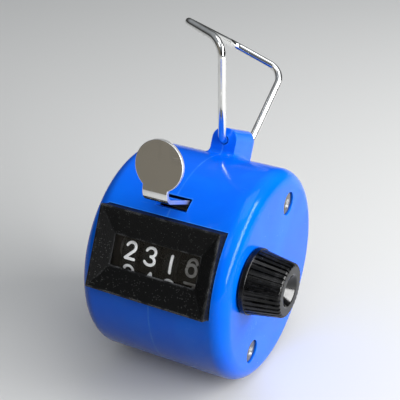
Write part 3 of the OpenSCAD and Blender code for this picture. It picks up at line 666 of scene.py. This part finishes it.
def whole_case():
    """Hollow drum with its lug, its openings, and the bosses and bores for the screws."""
    inner_w = HALF_W - CASE_WALL
    far = 3 * CASE_R
    half_h = BEZEL_H / 2 + SEAT
    half_w = BEZEL_W / 2 + SEAT
    wire_bore_r = WIRE_R + WIRE_CLEAR
    bore_r = SCREW_D / 2 + BORE_CLEAR
    well_r = HEAD_D / 2 + WELL_CLEAR
    head_in = HALF_W - HEAD_SUNK - HEAD_H
    tip = head_in - SCREW_LEN
    wire_bore = flared_bore([(-2 * LUG_LEN, 0), (-2 * LUG_LEN, wire_bore_r)], LUG_AHEAD, wire_bore_r, 0, 0)
    bmesh.ops.rotate(wire_bore, verts=wire_bore.verts, matrix=Matrix.Rotation(-pi / 2, 3, "Z"))
    bmesh.ops.translate(wire_bore, verts=wire_bore.verts, vec=(0, 0, HOLE_Z))
    body = combine(drum(CASE_R, HALF_W, CASE_ROUND), lug(), "UNION")
    body = combine(body, drum(CASE_R - CASE_WALL, inner_w, CASE_ROUND - CASE_WALL), "DIFFERENCE")
    body = combine(body, wire_bore, "DIFFERENCE")
    body = combine(body, block((-half_w, -far, BEZEL_Z - half_h), (half_w, -CASE_R / 2, BEZEL_Z + half_h)),
                   "DIFFERENCE")
    body = combine(body, block((-SLOT_W / 2, -far, SLOT_LOW), (SLOT_W / 2, -CASE_R / 2, SLOT_TOP)),
                   "DIFFERENCE")
    for y, z in SCREWS:
        body = combine(body, bar(-inner_w - 0.01, inner_w + 0.01, BOSS_D / 2, y, z), "UNION")
        steps = [(tip, 0), (tip, bore_r), (head_in, bore_r), (head_in, well_r)]
        body = combine(body, flared_bore(steps, HALF_W, well_r, y, z), "DIFFERENCE")
    body = combine(body, bar(inner_w - 1, HALF_W + 1, KNOB_HOLE_R, TRAIN_Y, TRAIN_Z), "DIFFERENCE")
    bmesh.ops.remove_doubles(body, verts=body.verts, dist=0.02)
    return body


def half_case(case, side):
    """The case on one side of the seam, closed where it is parted."""
    bm = case.copy()
    bmesh.ops.bisect_plane(bm, geom=bm.verts[:] + bm.edges[:] + bm.faces[:], dist=1e-3,
                           plane_co=(0, 0, 0), plane_no=(-side, 0, 0), clear_outer=True)
    bmesh.ops.remove_doubles(bm, verts=bm.verts, dist=0.01)
    seam = [e for e in bm.edges if e.is_boundary]
    bmesh.ops.triangle_fill(bm, edges=seam, use_beauty=True)
    bmesh.ops.recalc_face_normals(bm, faces=bm.faces)
    return bm


case = whole_case()
piece("case_shell_left", half_case(case, -1), [BLUE], "case", ["left_case"], 30)
piece("case_shell_right", half_case(case, 1), [BLUE], "case", ["right_case"], 30)
case.free()


# Bezel and pane


def step_face(bm, face, width, height, middle_z, y):
    """Draws a front face out to a new rectangle and returns it."""
    face = bmesh.ops.extrude_discrete_faces(bm, faces=[face])["faces"][0]
    old_z = face.calc_center_median().z
    for vert in face.verts:
        across = width / 2 if vert.co.x > 0 else -width / 2
        up = height / 2 if vert.co.z > old_z else -height / 2
        vert.co = (across, y, middle_z + up)
    return face


def bezel():
    """Frame with a flat rim, a funnel down to the window, a pocket for the pane and a hollow back."""
    half_w = BEZEL_W / 2
    half_h = BEZEL_H / 2
    back_y = BEZEL_FRONT + BEZEL_DEPTH
    lip_y = BEZEL_FRONT + FUNNEL + WINDOW_LIP
    pocket = (WINDOW_W + 2 * PANE_LAP + 2 * SEAT, WINDOW_H + 2 * PANE_LAP + 2 * SEAT, WINDOW_Z)
    hollow = (BEZEL_W - 2 * BEZEL_WALL, BEZEL_H - 2 * BEZEL_WALL, BEZEL_Z)
    bm = block((-half_w, BEZEL_FRONT, BEZEL_Z - half_h), (half_w, back_y, BEZEL_Z + half_h))
    face = min(bm.faces, key=lambda f: f.calc_center_median().y)
    back = max(bm.faces, key=lambda f: f.calc_center_median().y)
    face = step_face(bm, face, BEZEL_W - 2 * BEZEL_RIM, BEZEL_H - 2 * BEZEL_RIM, BEZEL_Z, BEZEL_FRONT)
    face = step_face(bm, face, WINDOW_W, WINDOW_H, WINDOW_Z, BEZEL_FRONT + FUNNEL)
    face = step_face(bm, face, WINDOW_W, WINDOW_H, WINDOW_Z, lip_y)
    face = step_face(bm, face, *pocket, lip_y)
    face = step_face(bm, face, *pocket, lip_y + PANE_T)
    face = step_face(bm, face, *hollow, lip_y + PANE_T)
    face = step_face(bm, face, *hollow, back_y)
    loops = list(face.edges) + list(back.edges)
    bmesh.ops.delete(bm, geom=[face, back], context="FACES_ONLY")
    bmesh.ops.bridge_loops(bm, edges=loops)
    bmesh.ops.recalc_face_normals(bm, faces=bm.faces)

    def outer(edge):
        return all(abs(v.co.x) > half_w - 0.01 or abs(v.co.z - BEZEL_Z) > half_h - 0.01 for v in edge.verts)

    round_edges(bm, FUNNEL_ROUND, 2, 20, lambda e: not outer(e))
    round_edges(bm, BEZEL_ROUND, 4, 60, outer)
    bmesh.ops.remove_doubles(bm, verts=bm.verts, dist=0.01)
    return bm


def pane():
    """Clear pane behind the window's lip."""
    half_w = WINDOW_W / 2 + PANE_LAP
    half_h = WINDOW_H / 2 + PANE_LAP
    front = BEZEL_FRONT + FUNNEL + WINDOW_LIP
    bm = block((-half_w, front, WINDOW_Z - half_h), (half_w, front + PANE_T, WINDOW_Z + half_h))
    round_edges(bm, PANE_ROUND)
    return bm


piece("bezel_frame", bezel(), [BLACK], "case", ["bezel"], 30)
clear_window = piece("clear_window", pane(), [PANE], "case", ["window_pane"], 30)
clear_window.visible_shadow = False


# Numerals


NUMERAL_STROKE = 0.3
NUMERAL_LIFT = 0.04
READING = (2, 3, 1, 6)
READING_TURN = (5, 3.6, 1, 4.6)
READING_SHIFT = (0.35, 0.15, 0.05, -0.15)
WHEELS = ("thousands", "hundreds", "tens", "units")


def bow(across, up, wide, tall, start, end, steps=20):
    """Points on an elliptic arc, with angles in degrees."""
    return [(across + wide * x, up + tall * y) for x, y in arc(0, 0, 1, start, end, steps)]


def line(*corners):
    """Points in short steps along straight stretches, so that they can follow the wheel."""
    points = [corners[0]]
    for a, b in zip(corners, corners[1:]):
        points += [Vector(a).lerp(Vector(b), i / 10) for i in range(1, 11)]
    return points


def numeral_strokes(digit):
    """Strokes of a plain numeral, 3.3 tall between stroke middles and centred on its place."""
    left, right, top, foot = -1.08, 1.08, 1.65, -1.65
    six = [bow(0, -0.55, 1.02, 1.1, 180, 540, 28),
           bow(0.05, 0.68, 0.9, 0.97, 12, 180) + line((-0.85, 0.6), (-1.02, -0.55))]
    strokes = {
        0: [bow(0, 0, 1.12, 1.65, 90, 450, 32)],
        1: [line((0, foot), (0, top))],
        2: [bow(0, 0.7, 0.98, 0.95, 165, -40) + line((0.68, 0), (-0.98, foot)),
            line((-0.98, foot), (1, foot))],
        3: [bow(-0.05, 0.9, 1, 0.87, 165, -80), bow(-0.08, -0.78, 1.12, 0.87, 82, -155)],
        4: [line((0.5, foot), (0.5, top)), line((0.5, top), (left, -0.7)),
            line((left, -0.7), (right, -0.7))],
        5: [line((0.95, top), (-0.85, top)), line((-0.85, top), (-0.98, 0.2)),
            bow(-0.05, -0.6, 1.12, 1.05, 140, -150)],
        6: six,
        7: [line((left, top), (right, top)), line((right, top), (-0.3, foot))],
        8: [bow(0, 0.85, 0.9, 0.8, 90, 450, 28), bow(0, -0.78, 1.1, 0.87, 90, 450, 28)],
        9: [[(-x, -y) for x, y in stroke] for stroke in six],
    }
    return strokes[digit]


def rounded_ends(stroke):
    """Points with their share of the stroke's width, with an end that runs out round."""
    points = [(Vector(p), 1) for p in stroke]
    for end, inner in ((0, 1), (-1, -2)):
        tip = Vector(stroke[end])
        out = (tip - Vector(stroke[inner])).normalized() * NUMERAL_STROKE
        cap = [(tip + out * sin(radians(a)), cos(radians(a))) for a in (30, 55, 75, 88)]
        points = points + cap if end else list(reversed(cap)) + points
    return points


def numeral(digit):
    """Numeral with round strokes, as a mesh."""
    strokes = []
    for stroke in numeral_strokes(digit):
        closed = (Vector(stroke[0]) - Vector(stroke[-1])).length < 1e-6
        points = [(Vector(p), 1) for p in stroke[:-1]] if closed else rounded_ends(stroke)
        strokes.append((points, closed))
    return wire_mesh(strokes, NUMERAL_STROKE)


def numerals(place):
    """The ten numerals round one wheel, with the reading in front and the next one below it."""
    bm = bmesh.new()
    middle_x = WHEEL_SHIFT + (place - 1.5) * WHEEL_PITCH + READING_SHIFT[place]
    for digit in range(10):
        mesh = numeral(digit)
        known = set(bm.verts)
        bm.from_mesh(mesh)
        bpy.data.meshes.remove(mesh)
        turn = radians(36 * (READING[place] - digit) + READING_TURN[place])
        for vert in set(bm.verts) - known:
            angle = turn + vert.co.y / WHEEL_R
            radius = WHEEL_R + vert.co.z / NUMERAL_STROKE * NUMERAL_LIFT
            vert.co = (middle_x + vert.co.x, TRAIN_Y - radius * cos(angle), TRAIN_Z + radius * sin(angle))
    bmesh.ops.remove_doubles(bm, verts=bm.verts, dist=1e-4)
    bmesh.ops.recalc_face_normals(bm, faces=bm.faces)
    return bm


for place, wheel in enumerate(WHEELS):
    # The units numerals are greyer than the others.
    paint = NUMERAL_GREYER if wheel == "units" else NUMERAL
    piece("numerals_" + wheel, numerals(place), [paint], wheel + "_wheel", sharper_than=60)


# Reset knob


def knob():
    """Knob with a flange, ribs that taper to its end, and a dished end."""
    hub_in = PLATE_OUT + 0.5
    hub_r = 3
    shaft_r = 1.52
    shaft_end = KNOB_END - 2.95
    rib_x = KNOB_X + KNOB_FLANGE
    rib_steps = 8
    flange = [(shaft_end, 0), (shaft_end, shaft_r), (hub_in, shaft_r), (hub_in, hub_r), (KNOB_X, hub_r),
              (KNOB_X, KNOB_R - 0.15), (KNOB_X + 0.15, KNOB_R), (rib_x - 0.06, KNOB_R),
              (rib_x, KNOB_R - 0.06)]
    ribbed = [(rib_x + 0.01, KNOB_R - 0.22), (KNOB_END - 0.4, KNOB_END_R),
              (KNOB_END - 0.32, KNOB_END_R - 0.03), (KNOB_END - 0.05, KNOB_END_R - 0.3),
              (KNOB_END - 0.01, KNOB_END_R - 0.4)]
    end = [(KNOB_END, KNOB_END_R - 0.75), (KNOB_END, DISH_R + 0.25), (KNOB_END - 0.08, DISH_R + 0.05),
           (KNOB_END - 0.2, DISH_R - 0.12), (KNOB_END - 1.7, DISH_R - 1.4),
           (KNOB_END - DISH_DEEP, DISH_R - 1.65), (KNOB_END - DISH_DEEP, 0)]
    bm = turned(flange + ribbed + end, steps=KNOB_RIBS * rib_steps)
    for vert in bm.verts:
        around = Vector((vert.co.y, vert.co.z))
        step = round(atan2(*around) / (2 * pi) * KNOB_RIBS * rib_steps) % rib_steps
        if vert.co.x > rib_x + 0.005 and around.length > KNOB_END_R - 0.5 and step in (3, 4, 5):
            groove = RIB_DEPTH - (0.25 if vert.co.x > KNOB_END - 0.05 else 0)
            vert.co.yz = around * (1 - groove / around.length)
    dish_in = KNOB_END - DISH_DEEP - 0.05
    for face in bm.faces:
        in_dish = all(v.co.x > dish_in and v.co.yz.length < DISH_R + 0.3 for v in face.verts)
        face.material_index = 1 if in_dish else 0
    bmesh.ops.translate(bm, verts=bm.verts, vec=(0, TRAIN_Y, TRAIN_Z))
    bmesh.ops.recalc_face_normals(bm, faces=bm.faces)
    return bm


piece("ribbed_knob", knob(), [KNOB_BLACK, DISH_BLACK], "knob", ["reset_knob"], 28)


# Thumb lever


def arm():
    """Flat arm beside the ratchet, with its pin hole, shaft window and rivet hole."""
    reach = ARM_WINDOW_R + 0.9
    pawl_y = TRAIN_Y + 5.4
    pawl_z = TRAIN_Z - 5.2
    rivet_r = 0.62
    edge = 1.3
    front = TRAIN_Y - ARM_TRAVEL - reach
    rear = TRAIN_Y + reach
    top = SHANK_Z + SHEET
    outline = [(WEB_FRONT, top), (PIN_Y + CURL_R, top), (PIN_Y + CURL_R, PIN_Z), (rear, TRAIN_Z + reach),
               (rear, TRAIN_Z), (pawl_y + edge, pawl_z + edge), (pawl_y + edge, pawl_z - edge),
               (pawl_y - 2 * edge, pawl_z - edge), (front, TRAIN_Z - 1), (front, TRAIN_Z + 2),
               (WEB_FRONT, PIN_Z - 3)]
    bm = bmesh.new()
    face = bm.faces.new([bm.verts.new((ARM_OUT - SHEET, y, z)) for y, z in outline])
    out = bmesh.ops.extrude_face_region(bm, geom=[face])["geom"]
    bmesh.ops.translate(bm, verts=[g for g in out if isinstance(g, bmesh.types.BMVert)], vec=(SHEET, 0, 0))
    bmesh.ops.recalc_face_normals(bm, faces=bm.faces)
    window = combine(bar(ARM_OUT - 2, ARM_OUT + 1, ARM_WINDOW_R, TRAIN_Y, TRAIN_Z),
                     bar(ARM_OUT - 2, ARM_OUT + 1, ARM_WINDOW_R, TRAIN_Y - ARM_TRAVEL, TRAIN_Z), "UNION")
    window = combine(window, block((ARM_OUT - 2, TRAIN_Y - ARM_TRAVEL, TRAIN_Z - ARM_WINDOW_R),
                                   (ARM_OUT + 1, TRAIN_Y, TRAIN_Z + ARM_WINDOW_R)), "UNION")
    bm = combine(bm, window, "DIFFERENCE")
    bm = combine(bm, bar(ARM_OUT - 2, ARM_OUT + 1, CURL_R - SHEET, PIN_Y, PIN_Z), "DIFFERENCE")
    return combine(bm, bar(ARM_OUT - 2, ARM_OUT + 1, rivet_r, pawl_y, pawl_z), "DIFFERENCE")


def lever():
    """Bent sheet: round thumb pad, bend, shank, a curl round the pin, and an arm beside the ratchet."""
    top = SHANK_Z + SHEET
    half = SHANK_W / 2
    bm = bmesh.new()
    verts = [bm.verts.new((x, WEB_REAR, top)) for x in (-half, CURL_RIGHT, half)]
    tongue = bm.edges.new(verts[:2])
    shank = [tongue, bm.edges.new(verts[1:])]

    def drawn_out(edges, y):
        out = bmesh.ops.extrude_edge_only(bm, edges=edges)["geom"]
        ends = [g for g in out if isinstance(g, bmesh.types.BMVert)]
        drawn = [g for g in out if isinstance(g, bmesh.types.BMEdge)]
        bmesh.ops.translate(bm, verts=ends, vec=(0, y - edges[0].verts[0].co.y, 0))
        return ends + [e for e in drawn if all(v in ends for v in e.verts)]

    bent = drawn_out(shank, BEND_Y)
    bent = bmesh.ops.spin(bm, geom=bent, cent=(0, BEND_Y, top + PAD_BEND), axis=(1, 0, 0),
                          angle=PAD_LEAN - pi / 2, steps=14)["geom_last"]
    foot = sorted((g for g in bent if isinstance(g, bmesh.types.BMVert)), key=lambda v: v.co.x)
    for vert in bm.verts:
        if vert.co.y < BEND_Y + 0.01:
            vert.co.x *= NECK_W / SHANK_W
    up = Vector((0, -sin(PAD_LEAN), cos(PAD_LEAN)))
    middle = Vector((0, foot[0].co.y, foot[0].co.z))
    neck_right = degrees(acos((NECK_W / 2 - PAD_SHIFT) / PAD_R))
    neck_left = degrees(acos((NECK_W / 2 + PAD_SHIFT) / PAD_R))
    rim = arc(PAD_SHIFT, PAD_R, PAD_R, -neck_right, 180 + neck_left, 64)
    bm.faces.new(foot + [bm.verts.new(middle + Vector((x, 0, 0)) + up * h) for x, h in rim])
    curled = drawn_out([tongue], PIN_Y)
    bmesh.ops.spin(bm, geom=curled, cent=(0, PIN_Y, PIN_Z), axis=(1, 0, 0), angle=-radians(300), steps=30)
    bmesh.ops.recalc_face_normals(bm, faces=bm.faces)
    if min(bm.faces, key=lambda f: (f.calc_center_median() - verts[2].co).length).normal.z < 0:
        bmesh.ops.reverse_faces(bm, faces=bm.faces)
    upper = set(bm.verts)
    bmesh.ops.solidify(bm, geom=bm.faces[:], thickness=SHEET)
    bmesh.ops.recalc_face_normals(bm, faces=bm.faces)
    for face in bm.faces:
        face.material_index = 1 if 0 < sum(v in upper for v in face.verts) < len(face.verts) else 0
    round_edges(bm, SHEET_ROUND, 3, 50)
    web_low = (half - WEB_LAP + WEB_SHY, WEB_FRONT + WEB_SHY, SHANK_Z + WEB_SHY)
    web_high = (ARM_OUT - WEB_SHY, WEB_REAR - WEB_SHY, top - WEB_SHY)
    bm = combine(bm, block(web_low, web_high), "UNION")
    bm = combine(bm, arm(), "UNION")
    bmesh.ops.remove_doubles(bm, verts=bm.verts, dist=1e-3)
    # Faces behind the web's front, inside the case, take the dark steel as painted shade.
    for face in bm.faces:
        if face.calc_center_median().y > WEB_FRONT:
            face.material_index = 2
    return bm


piece("bent_lever", lever(), [CHROME, CUT_EDGE, INNER_SHADE_STEEL], "lever", ["thumb_lever"], 60)


def lever_spring():
    """Torsion spring on the pin, with a leg under the shank and one under the upper spacer."""
    turns, wire_r, coil_r, steps = 7, 0.2, 1.5, 24
    left = CURL_RIGHT + 0.5
    right = ARM_OUT - SHEET - 1.6
    web_leg = (left, (WEB_FRONT + WEB_REAR) / 2, SHANK_Z - 2 * wire_r)
    spacer_y = 5.5
    spacer_leg = (right, spacer_y, PIN_Z - coil_r)
    coil = [(left + (right - left) * i / (turns * steps), PIN_Y - coil_r * sin(2 * pi * i / steps),
             PIN_Z - coil_r * cos(2 * pi * i / steps)) for i in range(turns * steps + 1)]
    points = [(Vector(p), 1) for p in [web_leg] + coil + [spacer_leg]]
    mesh = wire_mesh([(points, False)], wire_r)
    bm = bmesh.new()
    bm.from_mesh(mesh)
    bpy.data.meshes.remove(mesh)
    bmesh.ops.remove_doubles(bm, verts=bm.verts, dist=1e-4)
    bmesh.ops.recalc_face_normals(bm, faces=bm.faces)
    return bm


return_spring = piece("return_spring", lever_spring(), [SHADED_SPRING], None, ["lever_spring"], 60)
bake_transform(return_spring)


# Case screws


def case_screws():
    """Two cross-head screws with domed heads and pointed tips."""
    head_in = HALF_W - HEAD_SUNK - HEAD_H
    tip = head_in - SCREW_LEN
    top = head_in + HEAD_H
    rim_x = top - HEAD_DOME
    head_r = HEAD_D / 2
    crown_r = (head_r ** 2 + HEAD_DOME ** 2) / (2 * HEAD_DOME)
    shank = [(tip, 0), (tip + 0.8, SCREW_D / 2 - 0.1), (tip + 1.2, SCREW_D / 2), (head_in, SCREW_D / 2)]
    head = [(head_in, head_r - HEAD_ROUND), (head_in + 2 * HEAD_ROUND, head_r)]
    crown = arc(top - crown_r, 0, crown_r, degrees(asin(head_r / crown_r)), 0, 10)
    both = bmesh.new()
    for y, z in SCREWS:
        screw = turned(shank + head + crown)
        for turn in CROSS_TURNS:
            slot = block((top - CROSS_DEEP, -CROSS_LEN / 2, -CROSS_W / 2),
                         (top + HEAD_H, CROSS_LEN / 2, CROSS_W / 2))
            for vert in slot.verts:
                if vert.co.x < top:
                    vert.co.y *= 0.4
                    vert.co.z *= 0.7
            bmesh.ops.rotate(slot, verts=slot.verts, matrix=Matrix.Rotation(radians(turn), 3, "X"))
            screw = combine(screw, slot, "DIFFERENCE")
        bmesh.ops.remove_doubles(screw, verts=screw.verts, dist=0.05)
        round_edges(screw, HEAD_ROUND, 2, 40, lambda e: all(v.co.x > head_in for v in e.verts))
        # Faces of the cross take the bright steel: partly wear, partly a painted glint.
        for face in screw.faces:
            middle = face.calc_center_median()
            in_cross = head_in < middle.x < rim_x and middle.yz.length < CROSS_LEN / 2 + 0.1
            face.material_index = 1 if in_cross else 0
        bmesh.ops.translate(screw, verts=screw.verts, vec=(0, y, z))
        mesh = bpy.data.meshes.new("screw")
        screw.to_mesh(mesh)
        screw.free()
        both.from_mesh(mesh)
        bpy.data.meshes.remove(mesh)
    return both


piece("cross_screws", case_screws(), [SHADED_SCREW_STEEL, RUBBED_GLINT_STEEL], "case", ["case_screws"], 35)


# Finger loop


def loop_corners():
    """Corner points of the loop with their bend radii: foot, fold and end bar, front then rear."""
    foot, span, rise, fold_len, end = 15.4, 36.4, 18.4, 12.4, 25
    fold = radians(72)
    set_back = radians(2.6)
    fold_x = -fold_len * sin(fold)
    fold_h = rise + fold_len * cos(fold)

    def at(x, y, h):
        back = y * cos(set_back) + h * sin(set_back)
        up = h * cos(set_back) - y * sin(set_back)
        return Vector((x, LOOP_Y + back, HOLE_Z + up))

    return [(Vector((0, LOOP_Y - foot / 2, HOLE_Z)), 2), (at(0, -span / 2, rise), 3.7),
            (at(fold_x, -end / 2, fold_h), 3.8), (at(fold_x, end / 2, fold_h), 3.8),
            (at(0, span / 2, rise), 3.7), (Vector((0, LOOP_Y + foot / 2, HOLE_Z)), 2)]


def finger_loop():
    """Round wire drawn along the loop, with a bend at each corner."""
    corners = loop_corners()
    count = len(corners)
    bm = bmesh.new()
    start = (corners[0][0] + corners[-1][0]) / 2
    ahead = (corners[0][0] - corners[-1][0]).normalized()
    turn = ahead.to_track_quat("Z", "Y").to_matrix().to_4x4()
    bmesh.ops.create_circle(bm, cap_ends=False, segments=24, radius=WIRE_R,
                            matrix=Matrix.Translation(start) @ turn)
    first = list(bm.edges)
    ring = first
    place = start
    for i, (corner, bend) in enumerate(corners):
        before = (place - corner).normalized()
        after = (corners[(i + 1) % count][0] - corner).normalized()
        half = before.angle(after) / 2
        cut = bend / tan(half)
        out = bmesh.ops.extrude_edge_only(bm, edges=ring)["geom"]
        verts = [g for g in out if isinstance(g, bmesh.types.BMVert)]
        bmesh.ops.translate(bm, verts=verts, vec=corner + before * cut - place)
        ring = [g for g in out if isinstance(g, bmesh.types.BMEdge) and all(v in verts for v in g.verts)]
        middle = corner + (before + after).normalized() * bend / sin(half)
        axis = (-before).cross(after).normalized()
        out = bmesh.ops.spin(bm, geom=ring + verts, cent=middle, axis=axis, angle=pi - 2 * half,
                             steps=12)["geom_last"]
        ring = [g for g in out if isinstance(g, bmesh.types.BMEdge)]
        place = corner + after * cut
    bmesh.ops.bridge_loops(bm, edges=first + ring)
    bmesh.ops.recalc_face_normals(bm, faces=bm.faces)
    return bm


piece("wire_loop", finger_loop(), [CHROME], "loop", ["finger_loop"], 60)


# Floor, lights and camera


def soft_box(name, at, width, height, power, roll=0):
    """Soft lamp that faces the object, rolled about the way it faces by an angle in degrees."""
    lamp = bpy.data.lights.new(name, "AREA")
    lamp.shape = "RECTANGLE"
    lamp.size = width
    lamp.size_y = height
    lamp.energy = power
    obj = bpy.data.objects.new(name, lamp)
    bpy.context.collection.objects.link(obj)
    obj.location = at
    obj.rotation_mode = "QUATERNION"
    facing = (MIDDLE - Vector(at)).to_track_quat("-Z", "Y")
    obj.rotation_quaternion = facing @ Quaternion((0, 0, 1), radians(roll))


def stage_sheet(name, bm, material):
    mesh = bpy.data.meshes.new(name)
    bm.to_mesh(mesh)
    bm.free()
    mesh.materials.append(material)
    obj = bpy.data.objects.new(name, mesh)
    bpy.context.collection.objects.link(obj)


def floor():
    """Pale floor, which is as pale in metal and glass, and throws little light back up."""
    material, tree, shader = new_material("pale_floor")
    path = add(tree, "LightPath").outputs
    mirrored = worked(tree, "MAXIMUM", path["Is Glossy Ray"], path["Is Transmission Ray"])
    shown = worked(tree, "MAXIMUM", path["Is Camera Ray"], mirrored)
    colour = blend(tree, shown, (0.08, 0.08, 0.08, 1), (0.72, 0.72, 0.71, 1))
    feed(tree, shader.inputs["Base Color"], colour)
    shader.inputs["Roughness"].default_value = 0.7
    shader.inputs["Specular IOR Level"].default_value = 0.1
    bm = bmesh.new()
    bmesh.ops.create_circle(bm, cap_ends=True, segments=96, radius=1.5,
                            matrix=Matrix.Translation((0, 0, cad_low.z)))
    stage_sheet("floor", bm, material)


def grey_card():
    """Warm grey card in front of the object, which the thumb pad and the bezel mirror."""
    material, _, shader = new_material("grey_card")
    shader.inputs["Base Color"].default_value = linear(150, 143, 130)
    shader.inputs["Roughness"].default_value = 0.9
    bm = bmesh.new()
    ahead = Vector((-0.414, -0.91, 0))
    turn = ahead.to_track_quat("Z", "Y").to_matrix().to_4x4()
    bmesh.ops.create_grid(bm, x_segments=1, y_segments=1, size=0.13,
                          matrix=Matrix.Translation(MIDDLE + 0.36 * ahead + Vector((0, 0, 0.108))) @ turn)
    stage_sheet("grey_card", bm, material)


def camera():
    data = bpy.data.cameras.new("camera")
    data.sensor_width = 36
    data.lens = 83.1
    data.clip_start = 0.005
    obj = bpy.data.objects.new("camera", data)
    bpy.context.collection.objects.link(obj)
    obj.location = Vector((94.29, -148.47, 104.07)) * MM
    obj.rotation_mode = "QUATERNION"
    obj.rotation_quaternion = Vector((-0.411, 0.779, -0.473)).to_track_quat("-Z", "Y")
    bpy.context.scene.camera = obj


def world():
    """Light that grows from a dim horizon to a bright sky."""
    sky = bpy.data.worlds.new("studio")
    bpy.context.scene.world = sky
    sky.use_nodes = True
    tree = sky.node_tree
    up = add(tree, "SeparateXYZ", {"Vector": add(tree, "TexCoord").outputs["Generated"]}).outputs["Z"]
    colour = blend(tree, spread(tree, up, 0.1, 0.8), (0.1, 0.098, 0.093, 1), (0.9, 0.95, 1, 1))
    backdrop = add(tree, "LightPath").outputs["Is Camera Ray"]
    background = tree.nodes["Background"].inputs
    feed(tree, background["Color"], blend(tree, backdrop, colour, (0.7, 0.71, 0.72, 1)))
    feed(tree, background["Strength"], spread(tree, backdrop, 0, 1, 0.36, 1))


soft_box("right_strip", (0.36, -0.02, 0.16), 0.5, 0.09, 2.35, roll=30)
soft_box("overhead", (0.16, 0.1, 0.5), 0.35, 0.35, 0.8)
soft_box("front", (0.12, -0.34, 0.44), 0.2, 0.2, 0.25)
floor()
grey_card()
camera()
world()
bpy.context.scene.view_settings.view_transform = "Standard"
